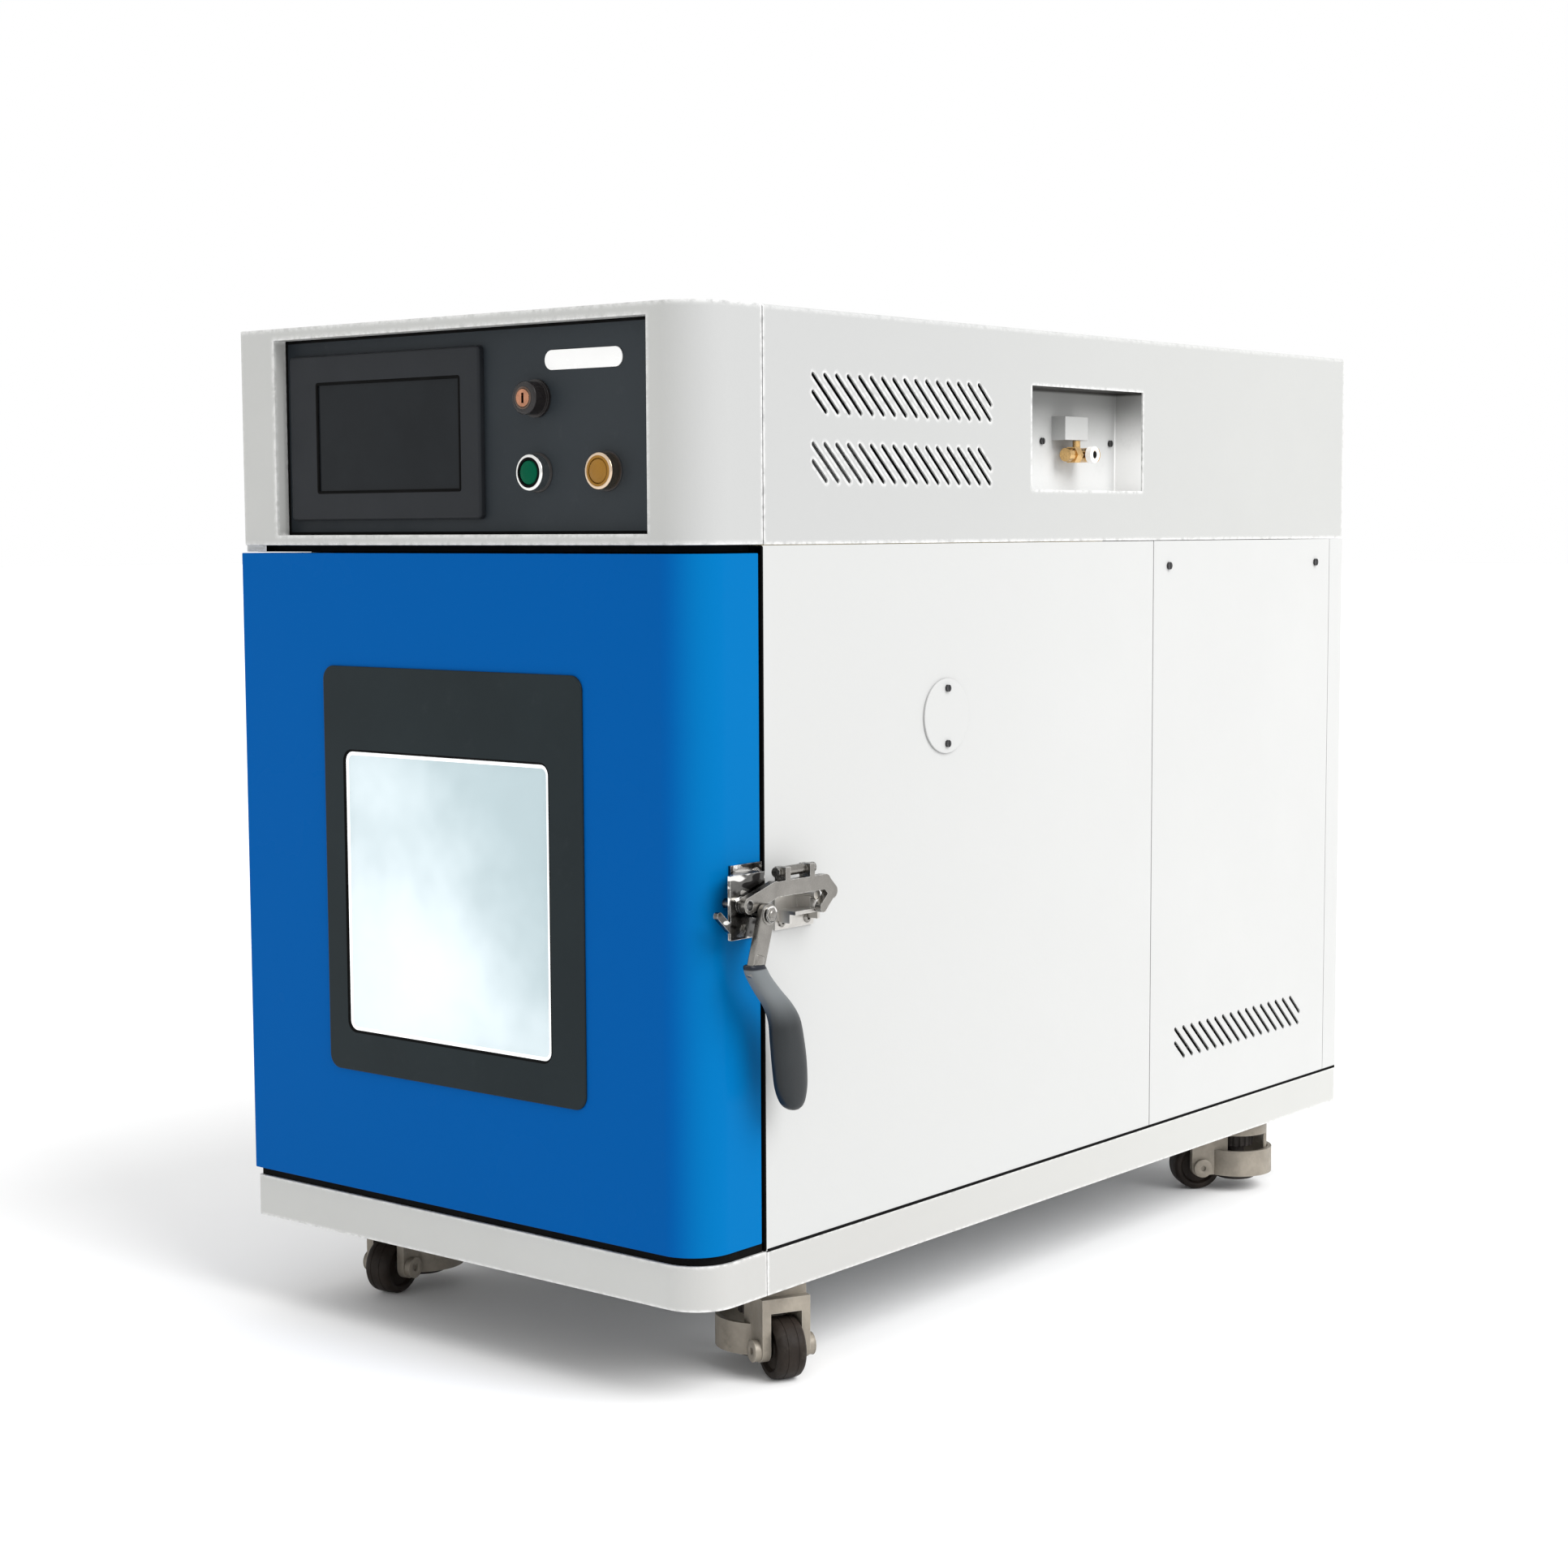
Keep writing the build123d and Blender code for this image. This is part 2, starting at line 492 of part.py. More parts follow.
# ---- machine room -------------------------------------------------------------------------------
def build_machine_room():
    x, y = -110, 770
    floor = Z_BASE + 3
    pot = rod_z(x, y, (floor + 16, 270), 72)
    pot = fillet(pot.edges().filter_by(GeomType.CIRCLE).sort_by(Axis.Z)[-1], 30)
    pot = pot + rod_z(x, y, (floor + 100, floor + 104), 75)
    pot = pot + block((x - 85, x + 85), (y - 60, y + 60), (floor + 12, floor + 16))
    for dx in (-75, 75):
        pot = pot + [rod_z(x + dx, y + dy, (floor, floor + 13), 11) for dy in (-50, 50)]
    pot = pot + block((x + 60, x + 92), (y - 25, y + 25), (floor + 60, floor + 120))
    parts["compressor"] = pot

    fan_z = 330
    core = block((-150, 150), (955, 995), (fan_z - 130, fan_z + 130))
    grooves = []
    for index in range(36):
        gx = -142.5 + 8 * index
        grooves.append(block((gx, gx + 5), (954, 996), (fan_z - 122, fan_z + 122)))
    tubes = [rod_x((-156, 156), 975, fan_z - 110 + 44 * row, 5) for row in range(6)]
    shroud = block((-150, 150), (936, 956), (fan_z - 130, fan_z + 130))
    shroud = shroud - block((-147, 147), (938, 957), (fan_z - 127, fan_z + 127))
    shroud = shroud - rod_y(0, (930, 940), fan_z, 112)
    arms = [
        Pos(0, 0, fan_z) * Rot(0, 45 + 90 * index, 0) * block((0, 128), (930, 936), (-5, 5))
        for index in range(4)
    ]
    motor = rod_y(0, (880, 932), fan_z, 30)
    unit = core - grooves + tubes + shroud + motor + arms
    legs = [block((side * 140 - 8, side * 140 + 8), (960, 990), (floor, fan_z - 128)) for side in (-1, 1)]
    unit = unit + legs
    parts["condenser"] = unit - rod_y(0, (915, 940), fan_z, SHAFT_R + RUNNING_FIT)
    fan = rod_y(0, (938, 952), fan_z, 26) + rod_y(0, (918, 940), fan_z, SHAFT_R)
    for index in range(5):
        blade = Rot(28, 0, 0) * block((20, 104), (-1, 1), (-22, 22))
        fan = fan + Pos(0, 945, fan_z) * Rot(0, 72 * index, 0) * blade
    keep = rod_y(0, (918, 953.5), fan_z, 106)
    keep = keep - (rod_y(0, (918, 938), fan_z, 107) - rod_y(0, (917, 939), fan_z, SHAFT_R + 0.01))
    parts["condenser_fan"] = fan & keep

    tray_z = Z_HEAD + 4
    tray = block((-200, 200), (150, 600), (tray_z, tray_z + 2))
    tray = tray + [block((x, x + 10), (150, 600), (Z_HEAD + GAP, tray_z)) for x in (-200, 190)]
    modules = [tray.solid()]
    top = tray_z + 2
    # each row of control gear: its start, depth, height and the widths of its modules
    rows = (
        (180, 60, 70, (100, 60, 60)),
        (310, 80, 90, (45, 45, 45, 45, 90)),
        (440, 90, 50, (150, 120)),
    )
    for y0, depth, height, widths in rows:
        x = -180
        for width in widths:
            modules.append(block((x, x + width), (y0, y0 + depth), (top, top + height)).solid())
            x += width + 8
    parts["electrical_tray"] = Compound(modules)


# ---- door ---------------------------------------------------------------------------------------
def build_door():
    z = (Z_DOOR, Z_DOOR_TOP)
    inset = 6
    pane_x = (WINDOW_X[0] - inset, WINDOW_X[1] + inset)
    pane_z = (WINDOW_Z[0] - inset, WINDOW_Z[1] + inset)
    shell = front_module(0, -DOOR_PROUD, z, DOOR_BACK)
    shell = shell - front_module(SHEET, -DOOR_PROUD, (z[0] + SHEET, z[1] - SHEET), DOOR_BACK + 1)
    shell = shell - round_window(pane_x, pane_z, (-DOOR_PROUD - 1, 0), 14)
    parts["door_shell"] = shell

    border = round_window(BORDER_X, BORDER_Z, (-DOOR_PROUD - BORDER_SHEET, -DOOR_PROUD), 12)
    border = chamfer(border.faces().sort_by(Axis.Y)[0].edges(), 0.6)
    parts["window_border"] = border - round_window(WINDOW_X, WINDOW_Z, (-DOOR_PROUD - 3, 0), 10)

    t = LINER_SHEET
    tunnel_x = (WINDOW_X[0] - 2, WINDOW_X[1] + 2)
    tunnel_z = (WINDOW_Z[0] - 2, WINDOW_Z[1] + 2)
    plug_x = (-185, 185)
    plug_z = (CHAMBER_Z[0] + 16, CHAMBER_Z[1] - 16)
    plug_back = DOOR_BACK + PLUG
    inner_z = (z[0] + SHEET + GAP, z[1] - SHEET - GAP)
    plate = block((-HALF + SHEET + GAP, HALF - SHEET - GAP), (DOOR_BACK - t, DOOR_BACK), inner_z)
    plug = block(plug_x, (DOOR_BACK - t, plug_back), plug_z)
    plug = fillet(plug.edges().filter_by(Axis.Y), 10)
    hollow_z = (plug_z[0] + t, plug_z[1] - t)
    hollow = block((plug_x[0] + t, plug_x[1] - t), (DOOR_BACK - t - 1, plug_back - t), hollow_z)
    hollow = fillet(hollow.edges().filter_by(Axis.Y), 10 - t)
    duct_x = (tunnel_x[0] - t, tunnel_x[1] + t)
    duct_z = (tunnel_z[0] - t, tunnel_z[1] + t)
    tunnel = block(duct_x, (0, plug_back - t), duct_z)
    rim = block((pane_x[0] + 1, pane_x[1] - 1), (0, t), (pane_z[0] + 1, pane_z[1] - 1))
    bore = block(tunnel_x, (-1, plug_back - t), tunnel_z)
    sight_x = (WINDOW_X[0] + 6, WINDOW_X[1] - 6)
    sight = block(sight_x, (-1, plug_back + 1), (WINDOW_Z[0] + 6, WINDOW_Z[1] - 6))
    liner = (plate + plug - hollow) + tunnel + rim - bore - sight
    parts["door_liner"] = liner

    outer_pane = round_window(
        (pane_x[0] + GAP, pane_x[1] - GAP), (pane_z[0] + GAP, pane_z[1] - GAP), (-DOOR_PROUD, 0), 13.8
    )
    inner_pane = block(
        (tunnel_x[0] + GAP, tunnel_x[1] - GAP),
        (plug_back - t - PANE, plug_back - t),
        (tunnel_z[0] + GAP, tunnel_z[1] - GAP),
    )
    parts["window_panes"] = Compound([outer_pane.solid(), inner_pane.solid()])

    foam = front_module(SHEET + GAP, -DOOR_PROUD, inner_z, DOOR_BACK - t)
    foam = foam - block(duct_x, (t, DOOR_BACK), duct_z)
    parts["door_insulation"] = foam - block(pane_x, (-5, t + GAP), pane_z)

    edge = 8
    lip = 20
    strip_y = (DOOR_BACK, CABINET_FRONT - 0.4)
    outer = block((-HALF + edge, HALF - edge), strip_y, (z[0] + edge, z[1] - edge))
    outer = fillet(outer.edges().filter_by(Axis.Y), 12)
    inner_x = (-HALF + edge + lip, HALF - edge - lip)
    inner = block(inner_x, (DOOR_BACK - 1, CABINET_FRONT), (z[0] + edge + lip, z[1] - edge - lip))
    parts["door_gasket"] = outer - inner


# ---- hinges -------------------------------------------------------------------------------------
def build_hinges():
    """Two butt hinges on the left: the cabinet's leaves carry the pins."""
    leaf_x = (-HALF - 2.5, -HALF)
    cabinet, door = [], []
    for z in HINGE_Z:
        knuckle = (z - 14, z + 14)
        ends = ((z - 40, z - 14.5), (z + 14.5, z + 40))
        leaf = block(leaf_x, (CABINET_FRONT + 4, 112), (z - 40, z + 40))
        leaf = leaf - [rod_x((-HALF - 3, -HALF + 1), 97, z + step, 3.2) for step in (-28, 28)]
        for end in ends:
            leaf = leaf + block((HINGE_X, -HALF), (HINGE_Y + 2, CABINET_FRONT + 5), end)
            leaf = leaf + rod_z(HINGE_X, HINGE_Y, end, KNUCKLE_R)
        pin = rod_z(HINGE_X, HINGE_Y, (z - 43, z + 43), PIN_R)
        head_spans = ((z - 43, z - 40), (z + 40, z + 43))
        heads = [rod_z(HINGE_X, HINGE_Y, span, PIN_R + 1.6) for span in head_spans]
        cabinet.append((leaf + pin + heads).solid())
        flap = block(leaf_x, (36, 67), (z - 40, z + 40))
        flap = flap - [rod_x((-HALF - 3, -HALF + 1), 50, z + step, 3.2) for step in (-28, 28)]
        flap = flap + block((HINGE_X, -HALF), (66, HINGE_Y - 2.6), knuckle)
        flap = flap + rod_z(HINGE_X, HINGE_Y, knuckle, KNUCKLE_R)
        door.append((flap - rod_z(HINGE_X, HINGE_Y, knuckle, PIN_R + RUNNING_FIT)).solid())
    parts["hinge_leaves_cabinet"] = Compound(cabinet)
    parts["hinge_leaves_door"] = Compound(door)


# ---- latch --------------------------------------------------------------------------------------
def build_latch():
    """A lever latch on the side: the door carries bracket, lever and claw, the cabinet the keeper."""
    z0 = Z_BASE
    base = block((HALF, HALF + 2.5), (33, 70), (z0 + 288, z0 + 346))
    base = base - [rod_x((HALF - 1, HALF + 4), 63, z, 2.6) for z in (z0 + 296, z0 + 338)]
    box = block((HALF + 1, LATCH_BOX_X), (14, 55), (z0 + 292, z0 + 341))
    box = box - block((HALF, LATCH_BOX_X - 2.5), (13, 58), (z0 + 294.5, z0 + 338.5))
    corners = [(HALF, 13), (LATCH_BOX_X - 2.5, 13), (LATCH_BOX_X - 2.5, 15), (HALF + 2, 37), (HALF, 37)]
    slant = Plane.XY.offset(z0 + 290) * make_face(Polyline(*corners, close=True))
    box = box - extrude(slant, 53)
    ear = capsule((2, z0 + 312), (20, z0 + 296), 6, (LATCH_BOX_X - 4, LATCH_BOX_X))
    bracket = base + box + ear
    pins = [rod_x((HALF + 2, HANDLE_X[1] + 0.4), *LATCH_PIVOT, LATCH_PIN_R)]
    pins.append(rod_x((HALF + 2, CLAW_X[1]), *CLAW_PIVOT, LATCH_PIN_R))
    pins.append(rod_x((HANDLE_X[1] + 0.4, HANDLE_X[1] + 2.6), *LATCH_PIVOT, 6.5))
    pins.append(rod_x((LATCH_BOX_X - 0.5, CLAW_X[0] - 0.4), *CLAW_PIVOT, 6.5))
    parts["latch_bracket"] = bracket + pins

    bore_r = LATCH_PIN_R + RUNNING_FIT
    arm_end = (28.5, z0 + 269)
    arm = capsule(LATCH_PIVOT, arm_end, 16, HANDLE_X)
    parts["latch_handle"] = arm - rod_x((HALF, HALF + 50), *LATCH_PIVOT, bore_r)

    # each station of the grip's outline: y and z of its middle, and half its width
    stations = [
        (27, 273.5, 9.5),
        (33.5, 262.5, 10.5),
        (43.5, 251, 12),
        (55.5, 238.5, 13.5),
        (63.5, 225.5, 15.5),
        (67, 208.5, 17),
        (69.5, 191.5, 17.5),
        (71.5, 173.5, 16.5),
        (73, 161.5, 12),
    ]
    left = [(y - half, z0 + z) for y, z, half in stations]
    right = [(y + half, z0 + z) for y, z, half in reversed(stations)]
    tip = ThreePointArc(left[-1], (74.5, z0 + 153.5), right[0])
    outline = [Line(right[-1], left[0]), Spline(*left), tip, Spline(*right)]
    grip = extrude(Plane.YZ.offset(GRIP_X[0]) * make_face(outline), GRIP_X[1] - GRIP_X[0])
    grip = fillet(grip.faces().filter_by(Axis.X).edges(), 3.5)
    socket = capsule(LATCH_PIVOT, arm_end, 16.2, (HANDLE_X[0] - 0.1, HANDLE_X[1] + 0.1))
    parts["latch_grip"] = grip - socket

    path = [CLAW_PIVOT, (58, z0 + 327), (120, z0 + 327), (129, z0 + 318.5), (117, z0 + 307)]
    widths = (13, 12, 11, 8)
    claw = Part()
    for start, end, width in zip(path, path[1:], widths):
        claw = claw + capsule(start, end, width, CLAW_X)
    lugs = [block((CLAW_X[0] - 5, CLAW_X[1]), (y, y + 6), (z0 + 331, z0 + 343)) for y in (70, 100)]
    screw = rod_y(CLAW_X[0] - 1, (66, 112), z0 + 339, 4)
    claw = claw + lugs + screw
    parts["latch_claw"] = claw - rod_x((HALF, HALF + 50), *CLAW_PIVOT, bore_r)

    reach = CLAW_X[0] - 0.7
    foot = block((HALF, HALF + 2.5), (86, 134), (z0 + 290, z0 + 322))
    foot = foot - [rod_x((HALF - 1, HALF + 4), y, z0 + 296, 2.6) for y in (94, 126)]
    wall = block((HALF + 2, reach), (90, 128), (z0 + 303, z0 + 306))
    cheeks = [block((HALF + 2, reach - 6), (y, y + 3), (z0 + 296, z0 + 304)) for y in (90, 125)]
    pin = rod_x((HALF + 2, reach), 117, z0 + 316.5, LATCH_PIN_R)
    post = block((HALF + 2, reach - 4), (113, 121), (z0 + 305, z0 + 315))
    parts["latch_keeper"] = foot + wall + cheeks + pin + post


# ---- casters ------------------------------------------------------------------------------------
def build_casters():
    """Four levelling casters. Each is built with its wheel along +X, then turned and placed."""
    top = Z_BASE - 4
    crown = rod_z(0, 0, (58, top - 0.4), CROWN_R)
    crown = crown + block((0, CASTER_OFFSET + 2), (-CHEEK_OUT, CHEEK_OUT), (56, top - 0.4))
    crown = crown - rod_y(CASTER_OFFSET, (-CHEEK_IN, CHEEK_IN), WHEEL_R, WHEEL_R + 4)
    band = rod_z(0, 0, (17, 43), BAND_R)
    band = band + block((0, CASTER_OFFSET), (-CHEEK_OUT, CHEEK_OUT), (17, 43))
    band = band - rod_z(0, 0, (16, 44), BAND_R - 4)
    post = rod_z(0, 0, (42, 59), CROWN_R) - rod_z(0, 0, (41, 60), CROWN_R - 4)
    post = post & block((-CROWN_R, -24), (-18, 18), (41, 60))
    cheeks = block((16, CASTER_OFFSET + 10), (-CHEEK_OUT, CHEEK_OUT), (WHEEL_R, top - 8))
    cheeks = cheeks + rod_y(CASTER_OFFSET, (-CHEEK_OUT, CHEEK_OUT), WHEEL_R, 10)
    bosses = rod_y(CASTER_OFFSET, (-BOSS_OUT, BOSS_OUT), WHEEL_R, 9)
    wheel_room = rod_y(CASTER_OFFSET, (-CHEEK_IN, CHEEK_IN), WHEEL_R, WHEEL_R + 4)
    wheel_room = wheel_room + block((CASTER_OFFSET, 80), (-CHEEK_IN, CHEEK_IN), (0, 56))
    housing = crown + band + post + cheeks + bosses - wheel_room
    housing = housing - rod_z(0, 0, (0, 57), 24)
    stud_r = 5.0
    stud_low = 30.0
    housing = housing + rod_z(0, 0, (stud_low, 60), stud_r)
    housing = housing + rod_y(CASTER_OFFSET, (-CHEEK_OUT, CHEEK_OUT), WHEEL_R, AXLE_R)
    socket_spans = ((-BOSS_OUT, -BOSS_OUT + 3), (BOSS_OUT - 3, BOSS_OUT))
    sockets = [rod_y(CASTER_OFFSET, span, WHEEL_R, 2.6) for span in socket_spans]
    king_r = 7.0
    housing = housing - sockets - rod_z(0, 0, (62, top), king_r + RUNNING_FIT)
    plate = block((-33, 33), (-33, 33), (top, Z_BASE))
    plate = fillet(plate.edges().filter_by(Axis.Z), 5)
    plate = plate + rod_z(0, 0, (63, top + 1), king_r)
    heads = [rod_z(dx, dy, (top - 3, top + 1), 4) for dx in (-25, 25) for dy in (-25, 25)]

    wheel = rod_y(CASTER_OFFSET, (-WHEEL_W / 2, WHEEL_W / 2), WHEEL_R, WHEEL_R)
    wheel = fillet(wheel.edges().filter_by(GeomType.CIRCLE), 3)
    for side in (-1, 1):
        span = sorted((side * WHEEL_W, side * (WHEEL_W / 2 - 2)))
        ring = rod_y(CASTER_OFFSET, span, WHEEL_R, 18) - rod_y(CASTER_OFFSET, span, WHEEL_R, 8)
        wheel = wheel - ring
    wheel = wheel - rod_y(CASTER_OFFSET, (-20, 20), WHEEL_R, AXLE_R + RUNNING_FIT)

    pad_r = 20.0
    dial_r = 18.0
    pad = rod_z(0, 0, (FOOT_CLEAR, FOOT_CLEAR + 7), pad_r)
    pad = fillet(pad.edges().filter_by(GeomType.CIRCLE), 1.5)
    dial = rod_z(0, 0, (44, 55), dial_r)
    notches = [
        rod_z(dial_r * math.cos(math.radians(turn)), dial_r * math.sin(math.radians(turn)), (43, 56), 1.6)
        for turn in range(0, 360, 20)
    ]
    foot = pad + rod_z(0, 0, (FOOT_CLEAR + 6, 45), 9) + (dial - notches)
    foot = foot - rod_z(0, 0, (stud_low - 2, 56), stud_r + RUNNING_FIT)

    plates = []
    for corner, turn in CASTER_TURN.items():
        x = CASTER_X if corner[1] == "r" else -CASTER_X
        y = CASTER_Y[0] if corner[0] == "f" else CASTER_Y[1]
        place = Pos(x, y, 0)
        turned = place * Rot(0, 0, turn)
        parts["caster_housing_" + corner] = turned * housing
        parts["caster_wheel_" + corner] = turned * wheel
        parts["levelling_foot_" + corner] = turned * foot
        plates.append((place * plate).solid())
    parts["caster_plates"] = Compound(plates)


def build_all():
    build_base()
    build_header()
    build_controls()
    build_fill_pocket()
    build_panels()
    build_gland()
    build_chamber()
    build_air_system()
    parts["shelf_lower"] = build_shelf(SHELF_Z[0])
    parts["shelf_upper"] = build_shelf(SHELF_Z[1])
    build_machine_room()
    build_door()
    build_hinges()
    build_latch()
    build_casters()


def origin_shift():
    """The move that puts the origin on the floor under the middle of the outline."""
    boxes = [shape.bounding_box() for shape in parts.values()]
    low = [min(getattr(box.min, axis) for box in boxes) for axis in "XYZ"]
    high = [max(getattr(box.max, axis) for box in boxes) for axis in "XYZ"]
    return (-(low[0] + high[0]) / 2, -(low[1] + high[1]) / 2, -low[2])


build_all()
SHIFT = origin_shift()
os.makedirs("parts", exist_ok=True)
for name, shape in parts.items():
    export_step(Pos(*SHIFT) * shape, f"parts/{name}.step")
print("moved by", [round(value, 3) for value in SHIFT], "nodes:", len(parts))
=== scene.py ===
import json
import math

import bmesh
import bpy
from mathutils import Matrix, Vector

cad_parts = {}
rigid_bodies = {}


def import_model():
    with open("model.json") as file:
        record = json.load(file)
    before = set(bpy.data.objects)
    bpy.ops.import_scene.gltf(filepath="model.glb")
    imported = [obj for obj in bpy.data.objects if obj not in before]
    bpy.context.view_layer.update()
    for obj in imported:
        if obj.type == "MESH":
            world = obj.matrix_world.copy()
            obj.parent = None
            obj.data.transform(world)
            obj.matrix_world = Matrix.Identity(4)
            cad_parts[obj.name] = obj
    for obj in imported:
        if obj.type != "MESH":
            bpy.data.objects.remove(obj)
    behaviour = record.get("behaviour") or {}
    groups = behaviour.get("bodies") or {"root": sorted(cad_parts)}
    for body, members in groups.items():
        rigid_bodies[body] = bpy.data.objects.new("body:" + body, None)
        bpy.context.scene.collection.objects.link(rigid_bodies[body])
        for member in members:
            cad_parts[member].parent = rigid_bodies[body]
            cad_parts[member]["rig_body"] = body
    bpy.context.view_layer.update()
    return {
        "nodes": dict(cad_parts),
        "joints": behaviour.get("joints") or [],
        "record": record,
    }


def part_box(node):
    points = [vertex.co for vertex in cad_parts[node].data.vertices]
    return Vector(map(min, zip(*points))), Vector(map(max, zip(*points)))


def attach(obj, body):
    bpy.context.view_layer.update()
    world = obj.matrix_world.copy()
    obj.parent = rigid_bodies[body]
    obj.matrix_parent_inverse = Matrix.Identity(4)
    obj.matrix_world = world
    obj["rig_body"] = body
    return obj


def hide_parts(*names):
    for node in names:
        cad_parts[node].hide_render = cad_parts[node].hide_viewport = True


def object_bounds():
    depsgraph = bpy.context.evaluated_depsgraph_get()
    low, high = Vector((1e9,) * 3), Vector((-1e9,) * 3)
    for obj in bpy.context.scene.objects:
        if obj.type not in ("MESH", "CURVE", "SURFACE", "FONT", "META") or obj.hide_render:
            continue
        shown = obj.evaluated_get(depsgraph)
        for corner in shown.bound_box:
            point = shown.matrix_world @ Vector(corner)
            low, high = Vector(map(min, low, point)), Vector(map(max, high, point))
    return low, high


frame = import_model()
nodes = frame["nodes"]
scene = bpy.context.scene

MM = 0.001
X, Y, Z = Vector((1, 0, 0)), Vector((0, 1, 0)), Vector((0, 0, 1))
CORNERS = ("fl", "fr", "rl", "rr")

BEVEL_STEPS = 3
BEVEL_ANGLE = 38  # degrees between faces, from which an edge is rounded
SHARP_ANGLE = 35  # degrees, from which an edge of a turned or swept piece is shown sharp
JOIN_DISTANCE = 1e-6

# The cabinet's rounded front corner, in at()'s millimetres
CORNER_CENTRE = (224, 36)
# Where the painted shade strips over and under the door end, at the left and at the back
SHADE_STRIP_LEFT, SHADE_STRIP_BACK = -257, 74
UNDER_HEADER = 670.2


# ---- places in the frame ------------------------------------------------------------------------
def middle(node):
    low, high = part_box(node)
    return (low + high) / 2


def at(x, y, z):
    """A point given in millimetres from the header's front edge, over the cabinet's middle."""
    low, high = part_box("header_front")
    return Vector(((low.x + high.x) / 2, low.y, 0)) + Vector((x, y, z)) * MM


joints = {joint["name"]: joint for joint in frame["joints"]}


def pivot(joint):
    return Vector(joints[joint]["pos_m"])


def turn_axis(joint):
    return Vector(joints[joint]["axis"]).normalized()


# ---- materials ----------------------------------------------------------------------------------
class Finish:
    """A procedural material being put together, with textures in the object's own space."""

    def __init__(self, name, colour, roughness, metallic=0.0, specular=0.5, coat=0.0):
        self.material = bpy.data.materials.new(name)
        self.material.use_nodes = True
        self.material.diffuse_color = (*colour, 1)
        self.tree = self.material.node_tree
        self.shader = self.tree.nodes["Principled BSDF"]
        self.shader.inputs["Base Color"].default_value = (*colour, 1)
        self.shader.inputs["Roughness"].default_value = roughness
        self.shader.inputs["Metallic"].default_value = metallic
        self.shader.inputs["Specular IOR Level"].default_value = specular
        self.shader.inputs["Coat Weight"].default_value = coat
        self.shader.inputs["Coat Roughness"].default_value = 0.08
        self.colour = (*colour, 1)
        self.roughness = roughness
        self.space = self.add("ShaderNodeTexCoord").outputs["Object"]
        self.height = None
        self.normal = None

    def add(self, kind, settings=None, **inputs):
        node = self.tree.nodes.new(kind)
        for key, value in (settings or {}).items():
            setattr(node, key, value)
        for key, value in inputs.items():
            self.feed(node.inputs[key.replace("_", " ")], value)
        return node

    def feed(self, socket, value):
        if isinstance(value, bpy.types.NodeSocket):
            self.tree.links.new(value, socket)
        else:
            socket.default_value = value

    def noise(self, scale, detail, rough, stretch=(1, 1, 1)):
        space = self.space
        if stretch != (1, 1, 1):
            space = self.add("ShaderNodeMapping", Vector=space, Scale=stretch).outputs["Vector"]
        node = self.add("ShaderNodeTexNoise", Vector=space, Scale=scale, Detail=detail, Roughness=rough)
        return node.outputs["Fac"]

    def axis(self, name):
        """How far along X, Y or Z each point lies."""
        return self.add("ShaderNodeSeparateXYZ", Vector=self.space).outputs[name]

    def span(self, value, low, high, to_low=0.0, to_high=1.0):
        """Runs smoothly from one number to another while the value goes from low to high."""
        node = self.add("ShaderNodeMapRange", {"interpolation_type": "SMOOTHSTEP"})
        for key, number in (("Value", value), ("From Min", low), ("From Max", high)):
            self.feed(node.inputs[key], number)
        node.inputs["To Min"].default_value = to_low
        node.inputs["To Max"].default_value = to_high
        return node.outputs["Result"]

    def math(self, operation, a, b=0.0):
        node = self.add("ShaderNodeMath", {"operation": operation})
        self.feed(node.inputs[0], a)
        self.feed(node.inputs[1], b)
        return node.outputs["Value"]

    def tint(self, mask, colour):
        """Blends another colour in where the mask is bright."""
        node = self.add("ShaderNodeMix", {"data_type": "RGBA"})
        self.feed(node.inputs[0], mask)
        self.feed(node.inputs[6], self.colour)
        self.feed(node.inputs[7], (*colour, 1))
        self.colour = node.outputs[2]
        return self

    def mottle(self, amount, scale, stretch=(1, 1, 1)):
        """Large soft differences of tone, darker and lighter."""
        base = self.shader.inputs["Base Color"].default_value[:3]
        dark = [c * (1 - amount) for c in base]
        light = [min(1, c * (1 + amount)) for c in base]
        patches = self.noise(scale, 4, 0.6, stretch)
        self.tint(self.span(patches, 0.35, 0.55, 1.0, 0.0), dark)
        return self.tint(self.span(patches, 0.5, 0.7), light)

    def grime(self, colour, amount, scale):
        """Thin irregular dirt or dust."""
        coarse = self.noise(scale, 6, 0.7)
        return self.tint(self.span(coarse, 0.55, 0.8, 0.0, amount), colour)

    def smudge(self, swing, scale):
        """Differences of gloss, as handling and wiping leave."""
        patches = self.noise(scale, 4, 0.6)
        low, high = self.roughness - swing, self.roughness + swing
        self.feed(self.shader.inputs["Roughness"], self.span(patches, 0.3, 0.7, low, high))
        return self

    def relief(self, scale, depth, stretch=(1, 1, 1)):
        """Fine bumps, depth in metres."""
        bumps = self.noise(scale, 2.0, 0.5, stretch)
        node = self.add("ShaderNodeBump", Height=bumps, Distance=depth, Strength=1.0)
        if self.normal is not None:
            self.feed(node.inputs["Normal"], self.normal)
        self.normal = node.outputs["Normal"]
        return self

    def edge_wear_and_highlight(self, colour, radius, amount=0.8):
        """A different colour along convex and concave edges, broken up by noise: wear on some finishes,
        a painted highlight on others.
        """
        bevel = self.add("ShaderNodeBevel", {"samples": 4}, Radius=radius).outputs["Normal"]
        true = self.add("ShaderNodeNewGeometry").outputs["Normal"]
        dot = self.add("ShaderNodeVectorMath", {"operation": "DOT_PRODUCT"})
        self.feed(dot.inputs[0], bevel)
        self.feed(dot.inputs[1], true)
        edge = self.span(dot.outputs["Value"], 0.8, 0.985, 1.0, 0.0)
        broken = self.math("MULTIPLY", edge, self.span(self.noise(160, 4, 0.6), 0.3, 0.6))
        return self.tint(self.math("MULTIPLY", broken, amount), colour)

